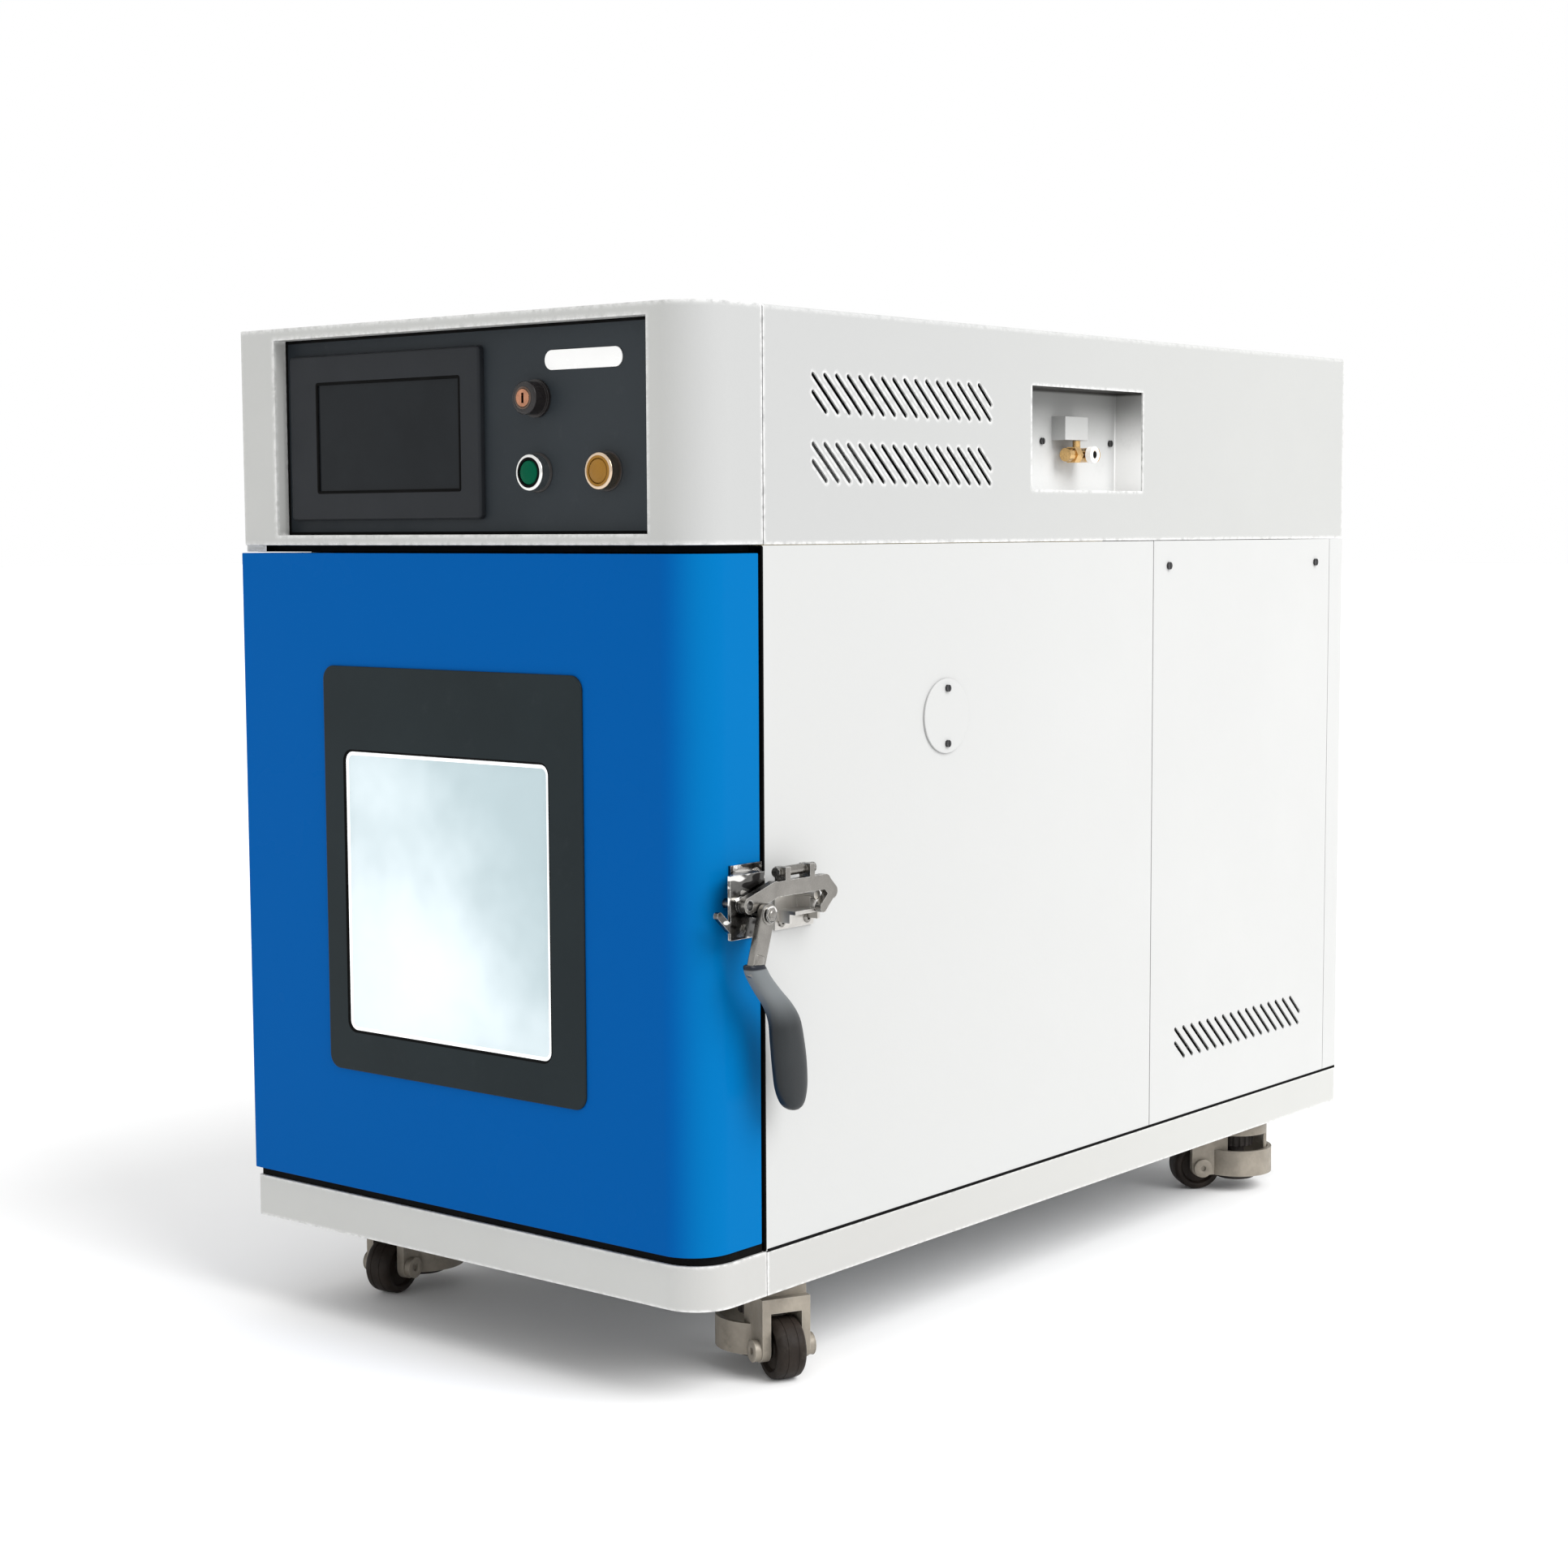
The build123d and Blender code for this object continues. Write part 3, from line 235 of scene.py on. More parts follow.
    def done(self):
        self.feed(self.shader.inputs["Base Color"], self.colour)
        if self.normal is not None:
            self.feed(self.shader.inputs["Normal"], self.normal)
        return self.material


def coat_paint(name, colour, roughness, specular, dust, side=None, lip=0.0):
    """Powder-coated sheet: orange peel, slight patches, wiped gloss.
    The tone may turn to another round the right side as painted shade, and the edges may get a painted
    highlight."""
    finish = Finish(name, colour, roughness, specular=specular)
    finish.mottle(0.018, 5).grime(dust, 0.10, 18)
    if side:
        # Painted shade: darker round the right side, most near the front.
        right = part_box("side_panel_right")[1]
        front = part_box("header_front")[0].y
        side_shade_mask = finish.span(finish.axis("X"), right.x - 0.045, right.x)
        near = finish.span(finish.axis("Y"), front + 0.06, front + 0.9, 1.0, 0.35)
        finish.tint(finish.math("MULTIPLY", side_shade_mask, near), side)
    if lip:
        # Painted highlight: paler along the edges.
        finish.edge_wear_and_highlight((0.82, 0.82, 0.81), lip, 0.9)
    return finish.smudge(0.07, 9).relief(420, 0.00005).relief(60, 0.00006).done()


def brushed(name, colour, roughness, stretch, metallic=1.0):
    """Sheet with a brushed grain drawn out along one direction."""
    finish = Finish(name, colour, roughness, metallic=metallic)
    finish.mottle(0.06, 7).mottle(0.05, 300, stretch)
    finish.smudge(0.08, 12)
    return finish.relief(900, 0.00003, stretch).done()


def moulding(name, colour, roughness, texture=500, specular=0.35, mottle=0.05):
    """Moulded plastic with a fine spark-eroded grain."""
    finish = Finish(name, colour, roughness, specular=specular)
    finish.mottle(mottle, 20).smudge(0.06, 30)
    return finish.relief(texture, 0.00005).done()


def make_materials():
    made = {}
    # Three copies of one paint, differing as painted light and shade: the header's darker, the base's
    # lighter against the floor's shadow, the side panels' lightest.
    made["header_paint"] = coat_paint("header_coat", (0.440, 0.443, 0.430), 0.42, 0.22,
                                      (0.41, 0.40, 0.37), (0.385, 0.388, 0.385), 0.005)
    made["base_paint"] = coat_paint("base_coat", (0.485, 0.487, 0.470), 0.42, 0.22,
                                    (0.44, 0.43, 0.40), (0.405, 0.402, 0.390), 0.004)
    made["cabinet_paint"] = coat_paint("cabinet_coat", (0.505, 0.507, 0.501), 0.4, 0.22,
                                       (0.475, 0.465, 0.445), (0.445, 0.448, 0.443))
    pocket = Finish("pocket_coat", (0.60, 0.603, 0.598), 0.45, specular=0.2)
    low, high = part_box("fill_pocket")
    height = pocket.axis("Z")
    # Painted shade: darker towards the top of the pocket.
    pocket.mottle(0.02, 5).tint(pocket.span(height, low.z, high.z, 0.0, 0.95), (0.22, 0.222, 0.216))
    # Painted shadow: a near-black band just under the pocket's top edge.
    pocket.tint(pocket.span(height, high.z - 0.005, high.z - 0.0025, 0.0, 0.9), (0.02, 0.018, 0.016))
    # Painted light: pale near the pocket's rear end, low down.
    behind = pocket.span(pocket.axis("Y"), high.y - 0.004, high.y - 0.001)
    lit = pocket.math("MULTIPLY", behind, pocket.span(height, low.z + 0.03, low.z + 0.085, 1.0, 0.0))
    pocket.tint(lit, (0.95, 0.95, 0.94))
    pocket.grime((0.3, 0.3, 0.28), 0.2, 30).smudge(0.06, 20)
    made["pocket_paint"] = pocket.relief(420, 0.00005).done()
    door = Finish("door_enamel", (0.0006, 0.084, 0.315), 0.24, specular=0.015)
    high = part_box("door_shell")[1]
    # Painted highlight: lighter and greener round the door's rounded right edge.
    door.tint(door.span(door.axis("X"), high.x - 0.034, high.x - 0.002), (0.0006, 0.120, 0.335))
    door.grime((0.0006, 0.075, 0.27), 0.15, 12).smudge(0.06, 7)
    made["door_paint"] = door.relief(300, 0.00004).relief(24, 0.00005).done()
    panel = Finish("panel_coat", (0.013, 0.017, 0.021), 0.42, specular=0.12)
    low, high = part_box("control_panel")
    # Painted light: the panel grows lighter towards the right.
    rightwards = panel.span(panel.axis("X"), low.x, high.x, 0.0, 0.9)
    panel.mottle(0.08, 12).tint(rightwards, (0.028, 0.034, 0.039))
    panel.grime((0.045, 0.05, 0.055), 0.25, 60).smudge(0.08, 16)
    made["panel_paint"] = panel.relief(1400, 0.00006).done()
    made["bezel_plastic"] = moulding("screen_bezel", (0.017, 0.019, 0.022), 0.4, 1600, 0.12)
    screen = Finish("screen_glass", (0.010, 0.012, 0.014), 0.12, specular=0.12)
    screen.mottle(0.12, 14).smudge(0.05, 25)
    made["screen_glass"] = screen.relief(40, 0.00002).done()
    made["badge_plastic"] = moulding("badge_face", (0.85, 0.85, 0.84), 0.25, 700, mottle=0.02)
    ring = Finish("button_chrome", (0.78, 0.78, 0.76), 0.16, metallic=1.0)
    between = (middle("start_cap").x + middle("stop_cap").x) / 2
    # Painted reflection: the chrome ring round the stop button takes an amber tint from its lens.
    amber_reflection_mask = ring.span(ring.axis("X"), between, between + 0.001, 0.0, 0.6)
    ring.mottle(0.06, 60).tint(amber_reflection_mask, (0.55, 0.32, 0.12))
    made["ring_chrome"] = ring.smudge(0.06, 200).relief(900, 0.00003).done()
    made["start_plastic"] = moulding("start_lens", (0.0, 0.075, 0.036), 0.3, 900, 0.04, 0.12)
    made["stop_plastic"] = moulding("stop_lens", (0.255, 0.125, 0.019), 0.28, 900, 0.12, 0.10)
    made["switch_plastic"] = moulding("key_switch_black", (0.014, 0.012, 0.012), 0.3, 900)
    core = Finish("key_core_copper", (0.42, 0.20, 0.12), 0.28, metallic=1.0)
    made["key_brass"] = core.mottle(0.2, 90).smudge(0.08, 200).relief(1200, 0.00004).done()
    brass = Finish("turned_brass", (0.62, 0.40, 0.17), 0.26, metallic=1.0)
    brass.mottle(0.12, 120).grime((0.22, 0.12, 0.05), 0.5, 150).smudge(0.08, 160)
    made["fitting_brass"] = brass.relief(1500, 0.00003).done()
    screw = Finish("blackened_screw", (0.05, 0.05, 0.052), 0.35, metallic=0.8)
    made["screw_steel"] = screw.mottle(0.3, 200).edge_wear_and_highlight((0.3, 0.3, 0.3), 0.0004).done()
    made["stainless"] = brushed("stainless_sheet", (0.62, 0.62, 0.61), 0.3, (0.05, 1, 1))
    made["shelf_wire"] = brushed("plated_wire", (0.72, 0.72, 0.71), 0.2, (1, 0.2, 1))
    foam = Finish("rigid_foam", (0.78, 0.68, 0.44), 0.9, specular=0.1)
    made["foam"] = foam.mottle(0.1, 30).relief(900, 0.0004).done()
    made["fan_aluminium"] = brushed("pressed_aluminium", (0.72, 0.73, 0.74), 0.35, (1, 1, 0.2))
    motor = Finish("motor_coat", (0.16, 0.165, 0.17), 0.45, specular=0.3)
    motor.mottle(0.1, 40).grime((0.3, 0.29, 0.26), 0.3, 50)
    made["motor_paint"] = motor.relief(600, 0.0001).done()
    made["coil_aluminium"] = brushed("coil_fins", (0.62, 0.63, 0.64), 0.4, (1, 1, 0.1))
    pot = Finish("compressor_enamel", (0.014, 0.014, 0.015), 0.25, specular=0.5)
    pot.mottle(0.3, 20).grime((0.10, 0.09, 0.08), 0.4, 40)
    made["compressor_paint"] = pot.relief(200, 0.0002).done()
    made["fan_plastic"] = moulding("fan_black", (0.025, 0.025, 0.026), 0.45)
    made["tray_plastic"] = moulding("control_gear", (0.5, 0.51, 0.52), 0.5)
    made["gland_plastic"] = moulding("gland_nylon", (0.02, 0.02, 0.021), 0.4)
    border = Finish("window_frame", (0.013, 0.019, 0.0215), 0.2, specular=0.08)
    border.mottle(0.07, 8).grime((0.03, 0.035, 0.04), 0.25, 40).smudge(0.05, 12)
    made["border_plastic"] = border.relief(30, 0.00003).done()
    gasket = Finish("gasket_vinyl", (0.06, 0.06, 0.062), 0.6, specular=0.3)
    gasket.mottle(0.2, 40).grime((0.2, 0.2, 0.19), 0.2, 90)
    made["gasket_rubber"] = gasket.relief(800, 0.0001).done()
    made["hinge_steel"] = brushed("hinge_plating", (0.42, 0.42, 0.41), 0.32, (1, 1, 0.2))
    nickel = Finish("latch_nickel", (0.232, 0.222, 0.206), 0.26, metallic=1.0)
    nickel.mottle(0.10, 60).grime((0.16, 0.14, 0.12), 0.25, 70)
    # The bright edges are a painted highlight.
    nickel.edge_wear_and_highlight((0.80, 0.79, 0.76), 0.0009, 0.85)
    made["latch_nickel"] = nickel.smudge(0.08, 90).relief(500, 0.00006).done()
    # A darker copy of the latch's nickel as painted shade, with painted dark and bright reflections in
    # bands and a painted highlight on the edges.
    shaded_bracket = Finish("latch_bracket_shaded_nickel", (0.10, 0.098, 0.095), 0.2, metallic=1.0)
    reflection_bands = shaded_bracket.noise(52, 1.0, 0.4, (1, 1, 2.4))
    shaded_bracket.mottle(0.25, 60).tint(shaded_bracket.span(reflection_bands, 0.36, 0.44, 1.0, 0.0), (0.012, 0.011, 0.011))
    shaded_bracket.tint(shaded_bracket.span(reflection_bands, 0.55, 0.60), (0.72, 0.71, 0.69))
    shaded_bracket.edge_wear_and_highlight((0.85, 0.84, 0.81), 0.0009, 0.9)
    made["bracket_nickel"] = shaded_bracket.smudge(0.08, 90).relief(500, 0.00006).done()
    # A lighter copy of the latch's nickel as painted light, with a painted highlight on the edges.
    plate = Finish("latch_keeper_lit_nickel", (0.50, 0.485, 0.46), 0.35, metallic=1.0)
    plate.mottle(0.08, 60).grime((0.25, 0.24, 0.22), 0.3, 70)
    plate.edge_wear_and_highlight((0.85, 0.84, 0.81), 0.0008)
    made["keeper_nickel"] = plate.smudge(0.08, 90).relief(500, 0.00005).done()
    grip = Finish("grip_moulding", (0.011, 0.0135, 0.0155), 0.36, specular=0.26)
    height = grip.axis("Z")
    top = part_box("latch_grip")[1].z
    # Painted highlight: the grip's top paler, where it faces the light.
    lit_top_colour, band = (0.15, 0.163, 0.17), (0.004, 0.006, 0.012)
    grip.mottle(0.12, 40).tint(grip.span(height, top - 0.055, top - 0.02, 0, 0.8), lit_top_colour)
    grip.tint(grip.span(height, top - 0.0045, top - 0.003), band)
    grip.edge_wear_and_highlight((0.16, 0.165, 0.17), 0.0016, 0.5).smudge(0.07, 40)
    made["grip_plastic"] = grip.relief(1100, 0.00008).done()
    made["caster_steel"] = brushed("caster_plating", (0.42, 0.41, 0.39), 0.38, (1, 1, 1))
    zinc = Finish("caster_casting", (0.27, 0.240, 0.198), 0.48, metallic=0.25, specular=0.35)
    zinc.mottle(0.14, 50).grime((0.10, 0.085, 0.065), 0.6, 60)
    zinc.edge_wear_and_highlight((0.42, 0.39, 0.34), 0.0016, 0.55)
    made["caster_zinc"] = zinc.smudge(0.1, 60).relief(420, 0.00018).done()
    wheel = Finish("wheel_moulding", (0.021, 0.016, 0.013), 0.5, specular=0.12)
    wheel.mottle(0.25, 60).grime((0.07, 0.062, 0.052), 0.5, 80).smudge(0.1, 80)
    made["wheel_plastic"] = wheel.relief(700, 0.00012).done()
    foot = Finish("foot_rubber", (0.036, 0.030, 0.027), 0.6, specular=0.3)
    foot.mottle(0.25, 60).grime((0.10, 0.09, 0.08), 0.4, 90)
    made["foot_rubber"] = foot.relief(800, 0.00015).done()
    # Near black, for black parts and as painted shade in gaps, holes and seams.
    black = Finish("black_and_painted_shade", (0.003, 0.003, 0.003), 0.7, specular=0.05)
    made["black_and_painted_shade"] = black.mottle(0.3, 40).relief(300, 0.0002).done()
    # Painted highlight: a white, faintly glowing band at the pane's ground edge.
    edge = Finish("pane_edge_glow", (0.95, 0.97, 0.98), 0.3, specular=0.3)
    edge.shader.inputs["Emission Color"].default_value = (1, 1, 1, 1)
    edge.shader.inputs["Emission Strength"].default_value = 0.35
    made["pane_edge_highlight"] = edge.mottle(0.04, 40).relief(120, 0.00003).done()
    rim = Finish("key_rim_dark", (0.10, 0.07, 0.055), 0.3, metallic=0.8)
    made["key_rim"] = rim.mottle(0.2, 120).relief(900, 0.00003).done()
    made["galvanised"] = brushed("galvanised_sheet", (0.45, 0.46, 0.47), 0.45, (1, 1, 1), 0.9)
    made["window_glass"] = misted_glass_painted_light()
    return made


def misted_glass_painted_light():
    """A pane with a pale film of mist, with painted light whiter low on the left and a faint painted
    glow.
    """
    low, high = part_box("window_panes")
    finish = Finish("misted_glass_painted_light", (0.80, 0.885, 0.92), 0.10, specular=0.2)
    across = finish.span(finish.axis("X"), low.x, high.x)
    up = finish.span(finish.axis("Z"), low.z, high.z)
    clouds = finish.noise(9, 3, 0.5)
    slope = finish.math("MULTIPLY", finish.math("ADD", across, up), 0.42)
    clear = finish.math("ADD", slope, finish.math("MULTIPLY", clouds, 0.75))
    # Painted light and shade: whiter low on the left, darker blue-grey high on the right.
    finish.tint(finish.span(clear, 0.45, 1.15, 0.0, 0.85), (0.42, 0.53, 0.56))
    # Painted glow: the pane gives off a little light.
    finish.feed(finish.shader.inputs["Emission Color"], finish.colour)
    finish.shader.inputs["Emission Strength"].default_value = 0.08
    finish.feed(finish.shader.inputs["Alpha"], finish.span(clouds, 0.3, 0.7, 0.93, 0.85))
    return finish.smudge(0.04, 30).relief(18, 0.00004).done()


materials = make_materials()
slot_of = {part["node"]: part["material_slot"] for part in frame["record"]["subparts"]}
# Nodes shown in lit or shaded copies of their slot's finish, as painted light and shade: the base and
# the keeper lighter, the latch bracket darker
painted_as = {
    "base_skirt": "base_paint",
    "latch_bracket": "bracket_nickel",
    "latch_keeper": "keeper_nickel",
}


# ---- mesh work ----------------------------------------------------------------------------------
def finish_piece(name, mesh, body, slot, replaced=(), material=None):
    obj = bpy.data.objects.new(name, mesh)
    scene.collection.objects.link(obj)
    mesh.materials.clear()
    mesh.materials.append(material or materials[slot])
    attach(obj, body)
    if replaced:
        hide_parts(*replaced)


def shade(mesh):
    """Smooth shading, with sharp edges kept sharp."""
    work = bmesh.new()
    work.from_mesh(mesh)
    for face in work.faces:
        face.smooth = True
    limit = math.radians(SHARP_ANGLE)
    for edge in work.edges:
        edge.smooth = len(edge.link_faces) == 2 and edge.calc_face_angle(0) < limit
    work.to_mesh(mesh)
    work.free()


def clean_mesh(node):
    """The node's shape with split vertices joined and flat areas made whole again."""
    work = bmesh.new()
    work.from_mesh(nodes[node].data)
    bmesh.ops.remove_doubles(work, verts=work.verts, dist=2e-6)
    bmesh.ops.dissolve_limit(work, angle_limit=math.radians(0.6), verts=work.verts, edges=work.edges)
    return work


def bevel_mesh(work, width):
    """Rounds every edge sharper than BEVEL_ANGLE and returns a mesh with clean normals."""
    mesh = bpy.data.meshes.new("work")
    work.to_mesh(mesh)
    work.free()
    obj = bpy.data.objects.new("work", mesh)
    scene.collection.objects.link(obj)
    for polygon in mesh.polygons:
        polygon.use_smooth = True
    bevel = obj.modifiers.new("bevel", "BEVEL")
    bevel.width = width * MM
    bevel.segments = BEVEL_STEPS
    bevel.limit_method = "ANGLE"
    bevel.angle_limit = math.radians(BEVEL_ANGLE)
    bevel.use_clamp_overlap = True
    weighted = obj.modifiers.new("weighted", "WEIGHTED_NORMAL")
    weighted.mode = "FACE_AREA"
    weighted.weight = 100
    weighted.keep_sharp = True
    graph = bpy.context.evaluated_depsgraph_get()
    made = bpy.data.meshes.new_from_object(obj.evaluated_get(graph))
    bpy.data.objects.remove(obj)
    return made


def soften(node, width):
    """Stands a copy of a node with rounded edges in its place."""
    made = bevel_mesh(clean_mesh(node), width)
    slot = slot_of[node]
    material = materials[painted_as.get(node, slot)]
    finish_piece(node + "_shape", made, nodes[node]["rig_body"], slot, (node,), material)


def side_frame(axis):
    """Two directions square to an axis and to each other."""
    side = axis.cross(Z if abs(axis.z) < 0.9 else X).normalized()
    return side, axis.cross(side).normalized()


def lathe(work, centre, axis, profile, steps):
    """Turns a profile of (radius, distance along the axis) pairs, in millimetres."""
    side, other = side_frame(axis)
    rings = []
    for radius, along in profile:
        base = centre + axis * along * MM
        if radius == 0:
            rings.append([work.verts.new(base)])
            continue
        ring = []
        for step in range(steps):
            turn = 2 * math.pi * step / steps
            reach = side * math.cos(turn) + other * math.sin(turn)
            ring.append(work.verts.new(base + reach * radius * MM))
        rings.append(ring)
    for one, two in zip(rings, rings[1:]):
        for step in range(steps):
            after = (step + 1) % steps
            corners = [
                one[step % len(one)], one[after % len(one)],
                two[after % len(two)], two[step % len(two)],
            ]
            corners = list(dict.fromkeys(corners))
            if len(corners) > 2:
                work.faces.new(corners)


def close_mesh(work, name, width=0.0):
    bmesh.ops.recalc_face_normals(work, faces=work.faces)
    if width:
        return bevel_mesh(work, width)
    mesh = bpy.data.meshes.new(name)
    work.to_mesh(mesh)
    work.free()
    shade(mesh)
    return mesh


def turned(name, centre, axis, profile, body, slot, replaced=(), steps=64, material=None):
    """One turned piece. The profile starts and ends on the axis or closes on itself."""
    work = bmesh.new()
    lathe(work, centre, axis, profile, steps)
    bmesh.ops.remove_doubles(work, verts=work.verts, dist=JOIN_DISTANCE)
    finish_piece(name, close_mesh(work, name), body, slot, replaced, material)


# ---- panels, door and header --------------------------------------------------------------------
def make_shells():
    """Sheet-metal and cast pieces, each with the radius of its edges in millimetres."""
    widths = {
        "header_front": 1.0,
        "header_cover": 0.6,
        "base_skirt": 1.0,
        "door_shell": 1.4,
        "side_panel_right": 0.6,
        "side_panel_left": 0.6,
        "rear_access_panel": 0.6,
        "rear_panel": 0.6,
        "port_cover": 0.6,
        "window_border": 0.5,
        "control_panel": 0.3,
        "hmi_bezel": 0.8,
        "hmi_screen": 0.3,
        "badge_plate": 0.3,
        "fill_pocket": 0.5,
        "base_plate": 0.4,
        "door_liner": 0.6,
        "air_baffle": 0.3,
        "hinge_leaves_cabinet": 0.5,
        "hinge_leaves_door": 0.5,
        "latch_bracket": 0.6,
        "latch_handle": 1.2,
        "latch_claw": 1.0,
        "latch_keeper": 0.6,
        "panel_screws": 0.3,
        "compressor": 1.5,
        "condenser": 0.5,
        "fan_motor": 1.0,
        "caster_plates": 0.8,
    }
    for corner in CORNERS:
        widths["caster_housing_" + corner] = 1.2
    for node, width in widths.items():
        soften(node, width)


def paint_nodes():
    """Every CAD node that is still shown gets its finish."""
    for node, slot in slot_of.items():
        nodes[node].data.materials.clear()
        nodes[node].data.materials.append(materials[slot])


# ---- swept frames: seals round the window, the screen and the door, painted shade and highlight bands ---
def swept_frame(work, low, high, radius, y, profile):
    """Sweeps a closed profile round a rounded rectangle that faces the front.
    The profile's points are (outward, towards the back), in millimetres."""
    steps = 8
    path = []
    corners = ((high.x, high.z, 0), (low.x, high.z, 90), (low.x, low.z, 180), (high.x, low.z, 270))
    for x, z, first in corners:
        centre_x = x - math.copysign(radius * MM, x - (low.x + high.x) / 2)
        centre_z = z - math.copysign(radius * MM, z - (low.z + high.z) / 2)
        for step in range(steps + 1):
            turn = math.radians(first + 90 * step / steps)
            out = Vector((math.cos(turn), 0, math.sin(turn)))
            path.append((Vector((centre_x, y, centre_z)) + out * radius * MM, out))
    rings = []
    for point, out in path:
        spots = [point + (out * away + Y * back) * MM for away, back in profile]
        rings.append([work.verts.new(spot) for spot in spots])
    for one, two in zip(rings, rings[1:] + rings[:1]):
        for index in range(len(profile)):
            after = (index + 1) % len(profile)
            work.faces.new((one[index], one[after], two[after], two[index]))


def frame_piece(name, low, high, radius, y, profile, body, slot, replaced=(), material=None):
    work = bmesh.new()
    swept_frame(work, low, high, radius, y, profile)
    finish_piece(name, close_mesh(work, name), body, slot, replaced, material)


def make_seals():
    black = materials["black_and_painted_shade"]
    low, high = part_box("hmi_screen")
    bezel_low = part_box("hmi_bezel")[0]
    seal = [
        (-1.1, 0.4), (-0.9, -0.1), (-0.5, -0.35), (0.9, -0.35), (1.3, -0.1), (1.4, 0.8), (-1.0, 1.4),
    ]
    frame_piece("screen_seal", low, high, 1.2, bezel_low.y, seal, "cabinet", "border_plastic",
                material=black)

    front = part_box("window_border")[0].y
    low, high = window_opening()
    radius = 10
    # The window's seal in near black: partly a rubber lip, partly a painted shadow line along the
    # border.
    lip = [(0.3, 1.9), (0.3, 0.3), (-0.3, -0.2), (-0.9, 0.1), (-1.6, 1.2), (-1.7, 1.95)]
    frame_piece("window_seal", low, high, radius, front, lip, "door", "gasket_rubber",
                material=black)
    # The pane's ground edge, shown as a painted highlight.
    edge = [(-1.6, 1.98), (-1.9, 1.5), (-3.4, 1.55), (-4.6, 1.97)]
    frame_piece("pane_edge_highlight", low, high, radius, front, edge, "door", "window_glass",
                material=materials["pane_edge_highlight"])

    low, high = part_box("side_panel_right")
    low.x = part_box("side_panel_left")[0].x
    # Painted shade: a black band on the cabinet's front edge, seen in the gap round the door.
    shade_profile = [(-0.15, 1.2), (-0.15, -0.7), (-0.6, -1.1), (-7.2, -1.1), (-7.4, 0.4)]
    frame_piece("door_gap_shade_strip", low, high, 1.5, low.y, shade_profile, "cabinet", "gasket_rubber",
                material=black)

    low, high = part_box("door_gasket")
    inset = Vector((10, 0, 10)) * MM
    bellows = [
        (-9.5, 0.05), (-9.3, 1.6), (-7.6, 2.9), (-5.8, 2.6), (-4.8, 1.7), (-3.4, 3.6), (-1.5, 4.3),
        (1.5, 4.45), (3.6, 3.9), (4.8, 1.7), (5.8, 2.6), (7.6, 2.9), (9.3, 1.6), (9.5, 0.05),
    ]
    frame_piece("door_gasket_shape", low + inset, high - inset, 8, low.y, bellows, "door",
                "gasket_rubber", ("door_gasket",))

    inset = Vector((1, 0, 13)) * MM
    low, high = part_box("air_baffle")
    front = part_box("chamber_liner")[0].y
    rolled = [
        (-0.1, 7), (-0.8, 2), (-0.5, 0.3), (0.6, -0.8), (2.0, -1.0), (3.2, -0.6), (3.8, 0.1),
        (1.0, 0.6),
    ]
    frame_piece("liner_lip", low - inset, high + inset, 12, front, rolled, "cabinet", "stainless")

    # Painted shade: a black line in the gap round the control panel.
    low, high = at(-216, 14, 678.6), at(209.5, 14, 843)
    line = [(0.1, -0.02), (0.1, -0.4), (-2.1, -0.4), (-2.5, -0.02)]
    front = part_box("control_panel")[0].y
    frame_piece("panel_gap_shade", low, high, 0.8, front, line, "cabinet", "panel_paint", material=black)


def strip(name, path, heights, slot, material=None, width=0.4):
    """A flat piece with the given outline in plan, standing between two heights."""
    work = bmesh.new()
    lower, upper = [[work.verts.new(at(x, y, height)) for x, y in path] for height in heights]
    work.faces.new(lower)
    work.faces.new(upper)
    for one in range(len(path)):
        two = (one + 1) % len(path)
        work.faces.new((lower[one], lower[two], upper[two], upper[one]))
    finish_piece(name, close_mesh(work, name, width), "cabinet", slot, material=material)


def corner_band(outer, inner):
    """A band's outline in plan, along the front and round the rounded corner at the right,
    between two radii of that corner."""
    x, y = CORNER_CENTRE

    def arc(radius):
        turns = [math.radians(turn) for turn in range(0, 91, 15)]
        return [(x + radius * math.sin(turn), y - radius * math.cos(turn)) for turn in turns]

    end = [(x + outer, SHADE_STRIP_BACK), (x + inner, SHADE_STRIP_BACK)]
    left = [(SHADE_STRIP_LEFT, y - outer)], [(SHADE_STRIP_LEFT, y - inner)]
    return left[0] + arc(outer) + end + arc(inner)[::-1] + left[1]


def make_gap_strips():
    """Black strips of painted shade in the gaps over and under the door and along the base's top edge.
    """
    black = materials["black_and_painted_shade"]
    strip("header_gap_shade", corner_band(24, 12), (664.4, UNDER_HEADER), "gasket_rubber", black)
    strip("base_gap_shade", corner_band(33.5, 23), (115.8, 122.6), "gasket_rubber", black)
    front, rear = 77.5, 1014.5
    inside, outside = 259.2, 260.25
    outline = ((inside, front), (outside, front), (outside, rear), (inside, rear))
    for name, side in (("right", 1), ("left", -1)):
        shade_outline = [(side * x, y) for x, y in outline]
        strip("base_shade_line_" + name, shade_outline, (115.4, 118.0), "gasket_rubber", black, 0.1)
    tab = [(-260, 3), (-234, 3), (-253.5, 19.5), (-254, 31), (-260, 31)]
    strip("header_tab", tab, (664.6, UNDER_HEADER), "header_paint")


def window_opening():
    """Low and high corner of the clear opening in the window's border."""
    low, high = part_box("window_border")
    rim = Vector((15, 0, 15)) * MM
    low, high = low + rim, high - rim
    inner = [
        v.co
        for v in nodes["window_border"].data.vertices
        if low.x < v.co.x < high.x and low.z < v.co.z < high.z
    ]
    low = Vector([min(co[axis] for co in inner) for axis in range(3)])
    return low, Vector([max(co[axis] for co in inner) for axis in range(3)])


